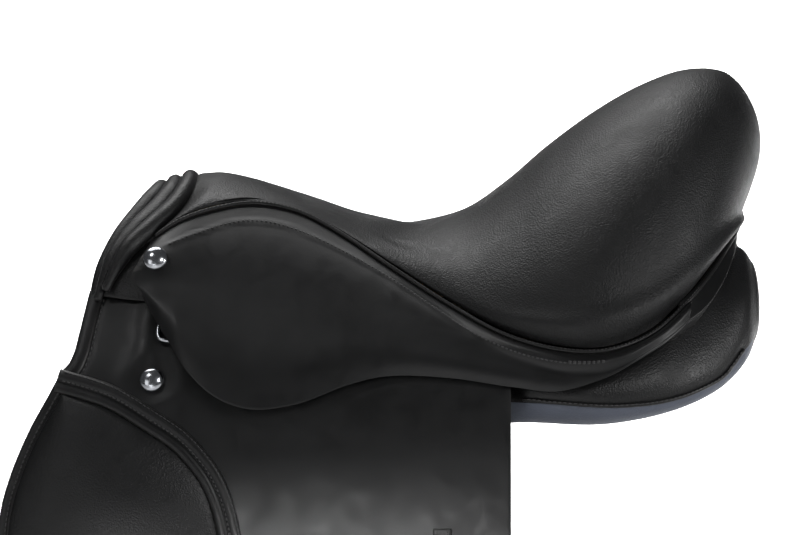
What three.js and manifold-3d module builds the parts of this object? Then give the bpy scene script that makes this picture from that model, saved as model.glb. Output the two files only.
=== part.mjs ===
// English saddle, general purpose pattern, 17 inch seat. Millimetres.
// +X runs from the pommel to the cantle, +Z is up, and the left (near) side is at -Y.
// The origin is on the centre line, where the panels bear on the back that carries the saddle.
import * as THREE from "three";
import { mergeVertices } from "three/addons/utils/BufferGeometryUtils.js";
import Module from "manifold-3d";

const wasm = await Module();
wasm.setup();

// ---------------------------------------------------------------- driving dimensions
const LEATHER = 2.4; // seat, skirt and facing leather
const FLAP = 3.2; // flap leather
const GAP = 0.4; // between pieces that touch on the real saddle
const FLAP_REAR_X = 73; // straight rear edge of the flap
const FLAP_BOTTOM_Z = -316;
const GIRTH_SPACE = 17; // between a flap and the sweat flap below it
const BILLET = { width: 25, thick: 3.5, xs: [-46, -6, 34], top: -39, bottom: -286 };
const BAR = { x: -98, halfWidth: 113, z: 14, toe: 0.17, length: 64, height: 14 };
const BAR_DEPTH = { bar: 5, slot: 8, plate: 2.6 };
const NAIL_RADIUS = 8.4;
const FOLD_SLOPE = -0.18; // the flap folds along a straight line, lower at the rear
const FOLD_AT_ORIGIN_Z = -55;
const SKIRT_FOLD = { front: [-176, 94, 46], rear: [124, 171, -9] };

const flapFoldZ = (x) => FOLD_AT_ORIGIN_Z + FOLD_SLOPE * x;

// Half width of a flap's outer face. It is straight along the fold, leans in towards the tree above it
// and hangs nearly upright below it.
function flapHalfWidth(x, z) {
  const ahead = FLAP_REAR_X - x;
  const h = z - flapFoldZ(x);
  const twist = h > 0 ? h : 0.14 * h + 34.4 * (Math.exp(h / 40) - 1);
  return 173 - 0.2057 * ahead - 0.085 * h - 0.0033 * Math.max(0, h) ** 2 - 0.00146 * twist * ahead;
}

// Outlines are listed as [x, half width, z] for a space curve and as [x, z] for a flat one.
const SEAT_CENTRE = [
  [-139, 0, 107.5], [-124, 0, 108.5], [-104, 0, 106], [-80, 0, 101], [-55, 0, 93.5], [-20, 0, 83],
  [15, 0, 77], [48, 0, 82], [75, 0, 99], [104, 0, 123], [139, 0, 148.5], [172, 0, 169],
  [202, 0, 182.5], [228, 0, 179], [246, 0, 158], [251, 0, 128], [241, 0, 91],
];
const SEAT_FRONT = [[-139, 0, 107.5], [-140, 24, 103.5], [-145.5, 43, 94], [-157, 58, 83], [-173, 71.5, 71]];
const SEAT_EDGE = [
  [-173, 71.5, 71], [-150, 66, 86], [-124, 59, 94], [-99, 56, 97], [-70, 61, 92], [-42, 74, 79],
  [-7, 97, 58], [33, 120, 34.5], [70, 144, 16], [105, 158, 6.5], [135, 160, 5], [165, 151, 15],
  [190, 134, 35], [208, 110, 53], [221, 82, 68], [231, 50, 78], [237.5, 7, 83],
];
const SKIRT_LOW = [
  [-175.5, 43.5], [-171, 34], [-162, 20], [-146, -5], [-128, -22], [-99, -33], [-76, -34], [-50, -27],
  [-20, -15], [10, -11], [50, -15], [80, -19], [105, -19.5], [123.5, -17.5],
];
const FLAP_FRONT = [
  [-228, -14], [-237, -33], [-255, -70], [-265, -98], [-270, -135], [-266, -180], [-252, -226],
  [-224, -268], [-192, -294],
];
const FLAP_BOTTOM = [[-192, -294], [-150, -310], [-90, FLAP_BOTTOM_Z], [-20, FLAP_BOTTOM_Z], [40, -312]];
const FLAP_REAR = [
  [FLAP_REAR_X, -68], [FLAP_REAR_X, -140], [FLAP_REAR_X, -220], [FLAP_REAR_X, -284], [64, -304], [40, -312],
];
const KNEE_WELT = [
  [-224, -21.5], [-203, -25.5], [-179, -31], [-155, -41], [-135, -56], [-121, -76], [-112, -96],
  [-106, -118], [-104, -150], [-110, -190], [-126, -228], [-152, -260], [-184, -284],
];
// The three leather rolls that bind the front arch, from its centre down to the left point, with their
// radius at the centre, on the shoulder and at the point.
const ROLLS = {
  pommel_roll_front: {
    radius: [4.8, 4.8, 2.8],
    line: [
      [-167, 0, 101.5], [-170, 20, 98.5], [-179, 37, 89], [-191, 53, 74], [-200, 65, 57], [-206, 75, 40],
      [-208.5, 82, 26],
    ],
  },
  pommel_roll_middle: {
    radius: [4.8, 4.9, 2.6],
    line: [
      [-157, 0, 104.6], [-159, 22, 100.5], [-167, 40, 91], [-181.5, 58, 77.5], [-193, 71, 62.5], [-200, 80, 47],
      [-204.5, 86.5, 33],
    ],
  },
  pommel_roll_rear: {
    radius: [4.8, 5.6, 2.8],
    line: [
      [-146.6, 0, 105.6], [-147.5, 26, 101.5], [-154.5, 46, 92.5], [-168.8, 63.4, 80.2], [-183.4, 76.9, 67.2],
      [-192.5, 84, 53], [-199, 89, 40],
    ],
  },
};

// ---------------------------------------------------------------- curves and solids
const v3 = (x, y, z) => new THREE.Vector3(x, y, z);
const spanOf = (n) => Array.from({ length: n + 1 }, (_, i) => i / n);

// A smooth curve through points given as [x, half width, z]; the left side is at -Y.
const spaceCurve = (points) => new THREE.CatmullRomCurve3(points.map(([x, w, z]) => v3(x, -w, z)));
const rightOf = (points) => points.map(([x, w, z]) => [x, -w, z]);
const flatCurve = (points) => new THREE.CatmullRomCurve3(points.map(([x, z]) => v3(x, 0, z)));

// A closed solid from triangles, with collapsed ones dropped and its faces turned outwards.
function solid(points, triangles) {
  const position = [];
  for (const [a, b, c] of triangles) {
    const [p, q, r] = [points[a], points[b], points[c]];
    if (p.distanceTo(q) > 1e-4 && q.distanceTo(r) > 1e-4 && r.distanceTo(p) > 1e-4) position.push(p, q, r);
  }
  let volume = 0;
  for (let i = 0; i < position.length; i += 3)
    volume += position[i].dot(v3(0, 0, 0).crossVectors(position[i + 1], position[i + 2]));
  const swap = (i) => ([position[i], position[i + 1]] = [position[i + 1], position[i]]);
  if (volume < 0)
    for (let i = 0; i < position.length; i += 3) swap(i);
  return new THREE.BufferGeometry().setFromPoints(position);
}

// A sheet of leather between two grids of points, less the cells that keep() refuses, with closed edges.
function sheet(outer, inner, keep = () => true) {
  const rows = outer.length;
  const cols = outer[0].length;
  const points = [...outer.flat(), ...inner.flat()];
  const at = (side, i, j) => side * rows * cols + i * cols + j;
  const kept = (i, j) => i >= 0 && j >= 0 && i < rows - 1 && j < cols - 1 && keep(i, j);
  const triangles = [];
  const quad = (a, b, c, d) => triangles.push([a, b, c], [a, c, d]);
  for (let i = 0; i < rows - 1; i++)
    for (let j = 0; j < cols - 1; j++) {
      if (!kept(i, j)) continue;
      quad(at(0, i, j), at(0, i + 1, j), at(0, i + 1, j + 1), at(0, i, j + 1));
      quad(at(1, i, j), at(1, i, j + 1), at(1, i + 1, j + 1), at(1, i + 1, j));
      if (!kept(i - 1, j)) quad(at(0, i, j), at(0, i, j + 1), at(1, i, j + 1), at(1, i, j));
      if (!kept(i + 1, j)) quad(at(0, i + 1, j + 1), at(0, i + 1, j), at(1, i + 1, j), at(1, i + 1, j + 1));
      if (!kept(i, j - 1)) quad(at(0, i + 1, j), at(0, i, j), at(1, i, j), at(1, i + 1, j));
      if (!kept(i, j + 1)) quad(at(0, i, j + 1), at(0, i + 1, j + 1), at(1, i + 1, j + 1), at(1, i, j + 1));
    }
  return solid(points, triangles);
}

// A solid through closed rings of points, capped at both ends, or joined end to end.
function loft(rings, endless = false) {
  const n = rings[0].length;
  const points = rings.flat();
  const triangles = [];
  const last = endless ? rings.length : rings.length - 1;
  for (let i = 0; i < last; i++)
    for (let j = 0; j < n; j++) {
      const k = (i + 1) % rings.length;
      const [a, b, c, d] = [i * n + j, i * n + ((j + 1) % n), k * n + ((j + 1) % n), k * n + j];
      triangles.push([a, b, c], [a, c, d]);
    }
  if (!endless)
    for (const [ring, start, turn] of [[rings[0], 0, 1], [rings.at(-1), (rings.length - 1) * n, 0]]) {
      const middle = ring.reduce((sum, p) => sum.add(p), v3(0, 0, 0)).multiplyScalar(1 / n);
      points.push(middle);
      for (let j = 0; j < n; j++) {
        const pair = [start + j, start + ((j + 1) % n)];
        triangles.push([points.length - 1, pair[turn], pair[1 - turn]]);
      }
    }
  return solid(points, triangles);
}

// A section of [across, up] points carried along a curve. across stays square to the curve and to lean(t).
function sweep(curve, section, steps, lean, endless = false) {
  const rings = spanOf(steps).slice(0, endless ? steps : undefined).map((t) => {
    const along = curve.getTangentAt(t);
    const across = v3(0, 0, 0).crossVectors(along, lean(t)).normalize();
    const up = v3(0, 0, 0).crossVectors(across, along).normalize();
    return section(t).map(([a, u]) => curve.getPointAt(t).addScaledVector(across, a).addScaledVector(up, u));
  });
  return loft(rings, endless);
}

const circle = (radius, sides) =>
  Array.from({ length: sides }, (_, k) => {
    const turn = (2 * Math.PI * k) / sides;
    return [radius * Math.cos(turn), radius * Math.sin(turn)];
  });

// A grid moved along its own surface normals, outwards from the saddle's middle for a positive distance.
function moved(grid, distance) {
  const rows = grid.length;
  const cols = grid[0].length;
  const near = (i, j) => grid[Math.min(rows - 1, Math.max(0, i))][Math.min(cols - 1, Math.max(0, j))];
  return grid.map((row, i) =>
    row.map((p, j) => {
      const down = near(i + 1, j).clone().sub(near(i - 1, j));
      const across = near(i, j + 1).clone().sub(near(i, j - 1));
      const normal = v3(0, 0, 0).crossVectors(down, across).normalize();
      return p.clone().addScaledVector(normal, typeof distance === "function" ? distance(i, j) : distance);
    }),
  );
}

// manifold-3d works on merged vertices with only their positions.
function manifoldOf(geometry) {
  const loose = geometry.index ? geometry.toNonIndexed() : geometry.clone();
  const merged = mergeVertices(loose.deleteAttribute("normal").deleteAttribute("uv"), 1e-3);
  const vertProperties = merged.attributes.position.array;
  const triVerts = new Uint32Array(merged.index.array);
  return new wasm.Manifold(new wasm.Mesh({ numProp: 3, vertProperties, triVerts }));
}

function geometryOf(made) {
  const { vertProperties, triVerts } = made.getMesh();
  return new THREE.BufferGeometry()
    .setAttribute("position", new THREE.BufferAttribute(vertProperties, 3))
    .setIndex(new THREE.BufferAttribute(triVerts, 1));
}

const joined = (...parts) => geometryOf(parts.map(manifoldOf).reduce((a, b) => a.add(b)));

// ---------------------------------------------------------------- seat and tree
const seatCentre = spaceCurve(SEAT_CENTRE);
const seatEdge = spaceCurve(SEAT_EDGE);

const seatFront = spaceCurve(SEAT_FRONT);
const FRONT_REACH = 0.14; // how far back the shape of the front edge is felt

function seatSection(u, v) {
  const top = seatCentre.getPoint(u);
  const edge = seatEdge.getPoint(u);
  const shoulder = v3(top.x, 0.58 * edge.y, top.z);
  const hip = v3(edge.x + 0.3 * (top.x - edge.x), edge.y, edge.z + 0.46 * (top.z - edge.z));
  return new THREE.CubicBezierCurve3(top, shoulder, hip, edge).getPoint(v);
}

// The seat's surface: u from pommel to cantle, v from -1 at the left edge to 1 at the right edge.
function seatPoint(u, v) {
  const side = Math.abs(v);
  const p = seatSection(u, side);
  const pull = Math.max(0, 1 - u / FRONT_REACH) ** 2;
  p.addScaledVector(seatFront.getPoint(side).sub(seatSection(0, side)), pull);
  return v > 0 ? v3(p.x, -p.y, p.z) : p;
}

const seatGrid = (us, vs) => us.map((u) => vs.map((v) => seatPoint(u, v)));

const lerp = (a, b, t) => a + (b - a) * t;
const FOAM_CENTRE = 15;
const FOAM_EDGE = 6;
const WEB = 1.4; // thickness of the webbing strained over the tree
const LAYER_GAP = 1.3;
const foamDepth = (v) => lerp(FOAM_CENTRE, FOAM_EDGE, v * v);

// One layer of the seat, between two depths below its surface.
function layer(us, vs, from, to, keep) {
  const grid = seatGrid(us, vs);
  const at = (depth) => moved(grid, (i, j) => -depth(vs[j]));
  return sheet(at(from), at(to), keep);
}

const along = (from, to, n) => spanOf(n).map((t) => lerp(from, to, t));
const foamTop = () => LEATHER + LAYER_GAP;
const foamLow = (v) => foamTop() + foamDepth(v);
const webTop = (v) => foamLow(v) + LAYER_GAP;
const crossWebTop = (v) => webTop(v) + WEB + LAYER_GAP;
const treeTop = (v) => crossWebTop(v) + WEB + LAYER_GAP;
const TREE_THICK = 7;

// Every layer is cut from the same grid of stations, so that its facets lie parallel to its neighbours'.
const stations = (from, to) => along(from / 20, to / 20, to - from);
const lanes = (reach) => along(-reach / 6, reach / 6, 2 * reach);
const seatCover = () => layer(stations(0, 20), lanes(6), () => 0, () => LEATHER);
const seatFoam = () => layer(stations(1, 18), lanes(5), foamTop, foamLow);
const webLengthwise = () => layer(stations(2, 14), lanes(1), webTop, (v) => webTop(v) + WEB);
const webCrosswise = () => layer(stations(7, 8), lanes(4), crossWebTop, (v) => crossWebTop(v) + WEB);

// The tree: a laminated wooden frame, with a head, a cantle and two rails round an open middle.
function tree() {
  const us = stations(2, 16);
  const vs = lanes(4);
  const open = (i, j) => i > 1 && i < 11 && j > 1 && j < 6;
  return layer(us, vs, treeTop, (v) => treeTop(v) + TREE_THICK, (i, j) => !open(i, j));
}

// The steel head plate: an arch under the tree's head, with a leg down each point.
function headPlate() {
  const line = [[-140, 87, 24], [-138, 75, 40], [-137, 56, 56], [-136, 28, 68], [-136, 0, 71]];
  const whole = [...line, ...line.slice(0, -1).reverse().map(([x, w, z]) => [x, -w, z])];
  const flat = [[-12, -1.5], [12, -1.5], [12, 1.5], [-12, 1.5]];
  return sweep(spaceCurve(whole), () => flat, 16, () => v3(0, 0, 1));
}

// ---------------------------------------------------------------- pommel and cantle
function pommelRoll({ radius: [centre, shoulder, point], line }) {
  const whole = [...line.slice(1).reverse(), ...rightOf(line)];
  const radiusAt = (t) => {
    const side = Math.abs(2 * t - 1);
    const full = side < 0.5 ? lerp(centre, shoulder, side / 0.5) : lerp(shoulder, point, (side - 0.5) / 0.5);
    return full * Math.min(1, 0.5 + 30 * Math.min(t, 1 - t));
  };
  return sweep(spaceCurve(whole), (t) => circle(radiusAt(t), 7), 22, () => v3(1, 0, 0.6));
}

// The leather that faces the front arch, from under the rolls to its inner edge.
const ARCH_OUTER = [
  [-167, 0, 95], [-169, 20, 92], [-176, 36, 83], [-186, 51, 67], [-195, 61, 50], [-200, 68, 36],
];
const ARCH_INNER = [
  [-159, 0, 74], [-161, 16, 71], [-166, 28, 62], [-173, 38, 50], [-180, 47, 39], [-186, 54, 31],
];
function pommelFacing() {
  const rail = (half) => spaceCurve([...half.slice(1).reverse(), ...rightOf(half)]);
  const [outer, inner] = [rail(ARCH_OUTER), rail(ARCH_INNER)];
  const grid = spanOf(24).map((t) => spanOf(2).map((s) => outer.getPointAt(t).lerp(inner.getPointAt(t), s)));
  return sheet(grid, moved(grid, -LEATHER));
}

// The leather band below the cantle, between the seat's edge and the tops of the panels.
const FACING_TOP = [
  [178, 140, 24], [194, 127, 38], [208, 104, 54], [220, 78, 67], [229, 50, 75], [234, 0, 80],
];
const FACING_LOW = [
  [182, 145, 2], [201, 132, 18], [214, 110, 37], [224, 80, 55], [231, 50, 66], [234, 0, 70],
];
function cantleFacing() {
  const rail = (half) => spaceCurve([...half, ...rightOf(half.slice(0, -1).reverse())]);
  const [top, low] = [rail(FACING_TOP), rail(FACING_LOW)];
  const grid = spanOf(16).map((t) => spanOf(2).map((s) => top.getPoint(t).lerp(low.getPoint(t), s)));
  return sheet(grid, moved(grid, LEATHER));
}

// ---------------------------------------------------------------- panels
// Each row is a station: x, then [half width, z] of the panel's corners in order round the section.
const PANEL = [
  [-203, [62, 20], [66, 16], [82, -6], [102, -54], [97, -62], [87, -54], [72, -10], [62, 12]],
  [-190, [54, 24], [60, 20], [82, -2], [108, -60], [100, -71], [86, -58], [62, -6], [50, 20]],
  [-172, [40, 44], [52, 38], [86, -3], [111, -62], [103, -74], [87, -61], [58, -14], [36, 34]],
  [-150, [34, 50], [62, 38], [89, -6], [113, -62], [105, -75], [88, -62], [58, -22], [34, 30]],
  [-95, [34, 36], [76, 26], [97, -12], [119, -56], [109, -70], [92, -54], [56, -22], [34, 16]],
  [-35, [34, 26], [88, 16], [105, -12], [121, -44], [112, -57], [92, -42], [56, -18], [34, 2]],
  [30, [34, 24], [102, 6], [116, -14], [127, -34], [115, -49], [92, -36], [56, -14], [34, 0]],
  [62, [34, 25], [108, 6], [124, -14], [134, -31], [120, -48], [93, -34], [56, -12], [34, 1]],
  [85, [34, 28], [122, 8], [150, -18], [155, -28], [128, -46], [94, -33], [56, -12], [34, 2]],
  [135, [34, 38], [112, 22], [155, -16], [156, -32], [130, -47], [96, -32], [56, -10], [34, 6]],
  [180, [34, 50], [98, 42], [144, -6], [146, -32], [124, -42], [94, -28], [56, -6], [34, 10]],
  [214, [34, 57], [84, 50], [118, 12], [126, -22], [112, -32], [88, -20], [58, 2], [36, 16]],
  [234, [36, 56], [68, 51], [98, 28], [104, -4], [94, -16], [78, -8], [58, 10], [38, 26]],
  [242, [46, 46], [64, 42], [84, 26], [88, 8], [82, 0], [72, 4], [60, 16], [48, 30]],
];

function panel() {
  const rails = spanOf(7).map((_, k) => spaceCurve(PANEL.map(([x, ...corners]) => [x, ...corners[k]])));
  const rings = spanOf(18).map((t) => {
    const ring = new THREE.CatmullRomCurve3(rails.map((rail) => rail.getPoint(t)), true);
    return spanOf(16).slice(0, 16).map((k) => ring.getPoint(k));
  });
  return loft(rings);
}

const CHANNEL = [
  [-163, 51], [-150, 44], [-95, 31], [-35, 21], [30, 19], [85, 23], [135, 32], [180, 46], [214, 56],
];
function channelLining() {
  const line = flatCurve(CHANNEL);
  const grid = spanOf(12).map((t) => [-30.5, 0, 30.5].map((y) => line.getPoint(t).setY(y)));
  return sheet(grid, moved(grid, 1.5));
}

// ---------------------------------------------------------------- skirts
const skirtGapAt = (x) => lerp(11, 1.5, THREE.MathUtils.smoothstep(x, -130, 40));
const skirtFold = (t) => v3(...SKIRT_FOLD.front).lerp(v3(...SKIRT_FOLD.rear), t).multiply(v3(1, -1, 1));


function skirtShare(x) {
  const [front, rear] = [SKIRT_FOLD.front[0], SKIRT_FOLD.rear[0]];
  return THREE.MathUtils.clamp((x - front) / (rear - front), 0, 1);
}

function skirtLowPoint(t) {
  const p = flatCurve(SKIRT_LOW).getPoint(t);
  const x = Math.min(p.x, 90);
  const overFlap = flapHalfWidth(x, p.z) + skirtGapAt(p.x) + LEATHER + 0.02 * (p.x - x);
  const fold = skirtFold(skirtShare(p.x));
  return p.setY(-Math.max(overFlap, 0.35 * (fold.z - p.z) - fold.y));
}

// The lower, lifting part of a skirt hangs from its straight fold line.
function skirt() {
  const rows = 3;
  const grid = spanOf(16).map((t) => {
    const low = skirtLowPoint(t);
    const fold = skirtFold(skirtShare(low.x));
    const swell = 5 * Math.min(1, (fold.z - low.z) / 40);
    const bulge = (k) => v3(0, -swell * Math.sin(Math.PI * k), -GAP * (1 - k));
    return spanOf(rows).map((k) => fold.clone().lerp(low, k).add(bulge(k)));
  });
  return sheet(grid, grid.map((row) => row.map((p) => p.clone().add(v3(0, LEATHER, 0)))));
}

// The upper part is sewn to the seat's edge and runs on to the cantle, behind the fold.
const SKIRT_TAIL = [
  [124, 171, -9], [130, 171, -15], [148, 169, -10], [160, 166, 0], [176, 158, 8], [189, 148, 18], [197, 139, 27],
];
const TAIL_SHARE = 0.215;
const TOP_STATIONS = [...along(0, 1 - TAIL_SHARE, 12), ...along(1 - TAIL_SHARE, 1, 5).slice(1)];
function skirtTop() {
  const tail = spaceCurve(SKIRT_TAIL);
  const upper = (t) => seatEdge.getPoint(lerp(0.01, 0.76, t)).add(v3(0, -3.4, -7.4));
  const lower = (t) => {
    const past = (t - 1 + TAIL_SHARE) / TAIL_SHARE;
    const p = past > 0 ? tail.getPoint(Math.min(1, past)) : skirtFold(t / (1 - TAIL_SHARE));
    return p.add(v3(0, 0, GAP));
  };
  const grid = TOP_STATIONS.map((t) => spanOf(3).map((s) => {
    const swell = Math.sin(Math.PI * s);
    return upper(t).lerp(lower(t), s).add(v3(0, -4 * swell, 2 * swell));
  }));
  return sheet(grid, grid.map((row) => row.map((p) => p.clone().add(v3(0, LEATHER, 0)))));
}

// The front nail stands on the skirt above the fold.
const skirtNailTurn = new THREE.Quaternion().setFromUnitVectors(v3(0, 1, 0), v3(-0.1, -1, 0.55).normalize());
const skirtNailFrame = new THREE.Matrix4()
  .makeRotationFromQuaternion(skirtNailTurn)
  .setPosition(-165, -92.5, 60.5);

// ---------------------------------------------------------------- flaps
// A patch between four flat outlines, as a grid of [x, z] points.
function patch(left, right, top, bottom, n, m) {
  return spanOf(n).map((s) => spanOf(m).map((t) => {
    const [l, r, a, b] = [left.getPoint(s), right.getPoint(s), top.getPoint(t), bottom.getPoint(t)];
    const blended = (axis) =>
      (1 - t) * l[axis] + t * r[axis] + (1 - s) * a[axis] + s * b[axis] -
      ((1 - s) * (1 - t) * top.getPoint(0)[axis] + (1 - s) * t * top.getPoint(1)[axis] +
        s * (1 - t) * bottom.getPoint(0)[axis] + s * t * bottom.getPoint(1)[axis]);
    return [blended("x"), blended("z")];
  }));
}

// A leather sheet over the flap's surface, from `out` mm outside its outer face inwards by `thick`.
function onFlap(grid, out, thick) {
  const face = (offset) => grid.map((row, i) => row.map(([x, z], j) => {
    const lift = typeof offset === "function" ? offset(i, j) : offset;
    return v3(x, -(flapHalfWidth(x, z) + lift), z);
  }));
  const inner = typeof out === "function" ? (i, j) => out(i, j) - thick : out - thick;
  return sheet(face(out), face(inner));
}

const onFace = (x, z) => v3(x, -flapHalfWidth(x, z), z);

// A square frame on a flap's face: x along the given direction, y out of the saddle.
function flapFrame(x, z, [dx, dz], lift) {
  const here = onFace(x, z);
  const along = onFace(x + dx, z + dz).sub(here).normalize();
  const out = v3(0, 0, 0).crossVectors(onFace(x + 1, z).sub(here), onFace(x, z + 1).sub(here)).normalize();
  const third = v3(0, 0, 0).crossVectors(along, out);
  return new THREE.Matrix4().makeBasis(along, out, third).setPosition(here.addScaledVector(out, lift));
}

const straight = (a, b) => flatCurve([a, [lerp(a[0], b[0], 0.5), lerp(a[1], b[1], 0.5)], b]);
const foldLine = (drop) =>
  straight([-228, flapFoldZ(-228) + drop], [FLAP_REAR_X, flapFoldZ(FLAP_REAR_X) + drop]);

function flap() {
  const front = flatCurve([[-228, flapFoldZ(-228) - GAP], ...FLAP_FRONT.slice(1)]);
  const rear = flatCurve([[FLAP_REAR_X, flapFoldZ(FLAP_REAR_X) - GAP], ...FLAP_REAR.slice(1)]);
  return onFlap(patch(front, rear, foldLine(-GAP), flatCurve(FLAP_BOTTOM), 10, 8), 0, FLAP);
}

// The fixed part of the flap: a tall neck in front, and a low edge behind that leaves the stirrup bar clear.
function flapTop() {
  const front = flatCurve([[-202, 31], [-210, 12], [-219, -5], [-228, flapFoldZ(-228)]]);
  const rear = straight([FLAP_REAR_X, -12], [FLAP_REAR_X, flapFoldZ(FLAP_REAR_X)]);
  const top = flatCurve([
    [-202, 31], [-175, 31], [-148, 28], [-139, 12], [-130, 0], [-60, -4], [FLAP_REAR_X, -12],
  ]);
  return onFlap(patch(front, rear, top, foldLine(0), 4, 12), 0, FLAP);
}

function sweatFlap() {
  const front = flatCurve([
    [-200, -12], [-222, -50], [-240, -98], [-246, -140], [-240, -190], [-222, -236], [-190, -272],
  ]);
  const rear = straight([60, -14], [60, -296]);
  const top = flatCurve([[-200, -12], [-128, -8], [-60, -10], [60, -14]]);
  const bottom = flatCurve([[-190, -272], [-120, -294], [-40, -300], [60, -296]]);
  return onFlap(patch(front, rear, top, bottom, 8, 5), -FLAP - GIRTH_SPACE, 2.6);
}

// ---------------------------------------------------------------- knee pad
const KNEE_RISE = 14;
const WELT_HALF = 4.5;
const STANDOFF = 0.9; // a flat facet of the flap stays clear of what is sewn to it
const kneeWelt = flatCurve(KNEE_WELT);
const kneeFront = flatCurve(FLAP_FRONT);

// The point beside a flat curve. A positive distance is upwards or rearwards, for one that runs
// rearwards or down.
function besideFlat(curve, t, distance) {
  const along = curve.getTangentAt(t);
  return curve.getPointAt(t).add(v3(along.z, 0, -along.x).multiplyScalar(-distance));
}

function kneePad() {
  const [rows, columns] = [10, 5];
  const grid = spanOf(rows).map((s) => {
    const front = besideFlat(kneeFront, lerp(0.05, 0.97, s), 4.5);
    const rear = besideFlat(kneeWelt, lerp(0.05, 0.97, s), -WELT_HALF - 1.2);
    return spanOf(columns).map((t) => front.clone().lerp(rear, t)).map((p) => [p.x, p.z]);
  });
  const swell = (i, j) => Math.sin((Math.PI * i) / rows) ** 0.6 * Math.sin(Math.PI * (j / columns) ** 0.8);
  const raised = (lift) => (i) => ([x, z], j) => v3(x, -(flapHalfWidth(x, z) + lift(i, j)), z);
  const face = (lift) => grid.map((row, i) => row.map(raised(lift)(i)));
  return sheet(face((i, j) => STANDOFF + 1.8 + KNEE_RISE * swell(i, j)), face(() => STANDOFF));
}

function kneeWeltBand() {
  const edges = (t) => [WELT_HALF, -WELT_HALF].map((d) => besideFlat(kneeWelt, t, d));
  const grid = spanOf(20).map((t) => edges(t).map((p) => [p.x, p.z]));
  return onFlap(grid, STANDOFF + 2.6, 2.6);
}

// The loop on the flap that holds the end of the stirrup leather: a strap raised over a slot.
const KEEPER = { x: 28, z: -133, long: 46, wide: 12, thick: 2, room: 7.5, foot: 9 };
function keeper() {
  const { long, wide, thick, room, foot } = KEEPER;
  const side = [
    [0, 0], [0, thick], [foot - 4, thick], [foot, thick + room],
    [long - foot, thick + room], [long - foot + 4, thick], [long, thick], [long, 0],
  ];
  const shape = new THREE.Shape(side.map(([a, b]) => new THREE.Vector2(a - long / 2, b)));
  const slot = [
    [foot - 1, thick * 0.5], [long - foot + 1, thick * 0.5], [long - foot - 2, room], [foot + 2, room],
  ];
  shape.holes.push(new THREE.Path(slot.map(([a, b]) => new THREE.Vector2(a - long / 2, b))));
  const strap = new THREE.ExtrudeGeometry(shape, { depth: wide, bevelEnabled: false });
  return strap.translate(0, 0, -wide / 2).applyMatrix4(flapFrame(KEEPER.x, KEEPER.z, [0, -1], STANDOFF));
}

// ---------------------------------------------------------------- girth straps
// The straps lie in one plane, between the flap and the sweat flap.
const BILLET_PLANE = { x: -6, z: -100, halfWidth: 154.5, rearwards: 0.15, downwards: 0.118 };
function billetAt(x, z) {
  const { x: x0, z: z0, halfWidth, rearwards, downwards } = BILLET_PLANE;
  return halfWidth + rearwards * (x - x0) - downwards * (z - z0);
}

// A solid between two parallel planes of the straps, through the same [x, z] outline rows.
function inBilletPlane(rows, out, thick) {
  return loft(rows.map(([a, b, z]) => [
    v3(a, -billetAt(a, z) - out, z), v3(b, -billetAt(b, z) - out, z),
    v3(b, -billetAt(b, z) - out + thick, z), v3(a, -billetAt(a, z) - out + thick, z),
  ]));
}

function billet(x) {
  const half = BILLET.width / 2;
  const { top, bottom } = BILLET;
  const rows = [[half, top], [half, -145], [half, bottom + 14], [half - 3, bottom + 5], [4, bottom]];
  return inBilletPlane(rows.map(([h, z]) => [x - h, x + h, z]), 0, BILLET.thick);
}

// The sleeve that keeps the girth buckles off the rider's leg.
const GUARD = { top: -84, bottom: -132, front: -64, rear: 52, wall: 1.8, room: 1.1 };
function girthGuard() {
  const { top, bottom, front, rear, wall, room } = GUARD;
  const sleeve = (inset, past, proud) => {
    const [a, b] = [front + inset, rear - inset];
    return inBilletPlane([[a, b, top + past], [a, b, bottom - past]], proud, BILLET.thick + 2 * proud);
  };
  const [outer, inner] = [sleeve(0, 0, room + wall), sleeve(wall, 2, room)];
  return geometryOf(manifoldOf(outer).subtract(manifoldOf(inner)));
}

// Webbing that carries the straps from the tree, lapped behind their tops.
const WEB_LINE = [[32, 26], [16, 17], [0, 10], [-18, 5.2], [-40, 4.2], [-62, 4.2]]; // z, depth behind the straps
function billetWeb() {
  const lean = (z) => 0.26 * Math.max(0, z + 30);
  const at = (x) => ([z, depth]) => v3(x, -(billetAt(x, z) - depth - lean(z)), z);
  const grid = along(-58, 46, 4).map((x) => WEB_LINE.map(at(x)));
  return sheet(grid, grid.map((row) => row.map((p) => p.clone().add(v3(0, 1.6, 0)))));
}

// ---------------------------------------------------------------- metal
// The bar stands upright: x along it, y towards the tree, z up.
const barFrame = new THREE.Matrix4().makeRotationZ(-BAR.toe).setPosition(BAR.x, -BAR.halfWidth, BAR.z);
const BAR_PIVOT_X = BAR.length / 2 - 6;
const PIN_RADIUS = 1.8;

// A flat plate in the bar's own frame: x along the bar, y towards the tree, z up.
function barPlate(points, y, thick, hole) {
  const shape = new THREE.Shape(points.map(([x, z]) => new THREE.Vector2(x, z)));
  if (hole) shape.holes.push(new THREE.Path().absarc(hole.x, hole.z, hole.r, 0, 2 * Math.PI));
  const g = new THREE.ExtrudeGeometry(shape, { depth: thick, bevelEnabled: false, curveSegments: 5 });
  const upright = new THREE.Matrix4().makeBasis(v3(1, 0, 0), v3(0, 0, 1), v3(0, -1, 0));
  return g.applyMatrix4(upright).translate(0, y + thick, 0);
}

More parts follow.
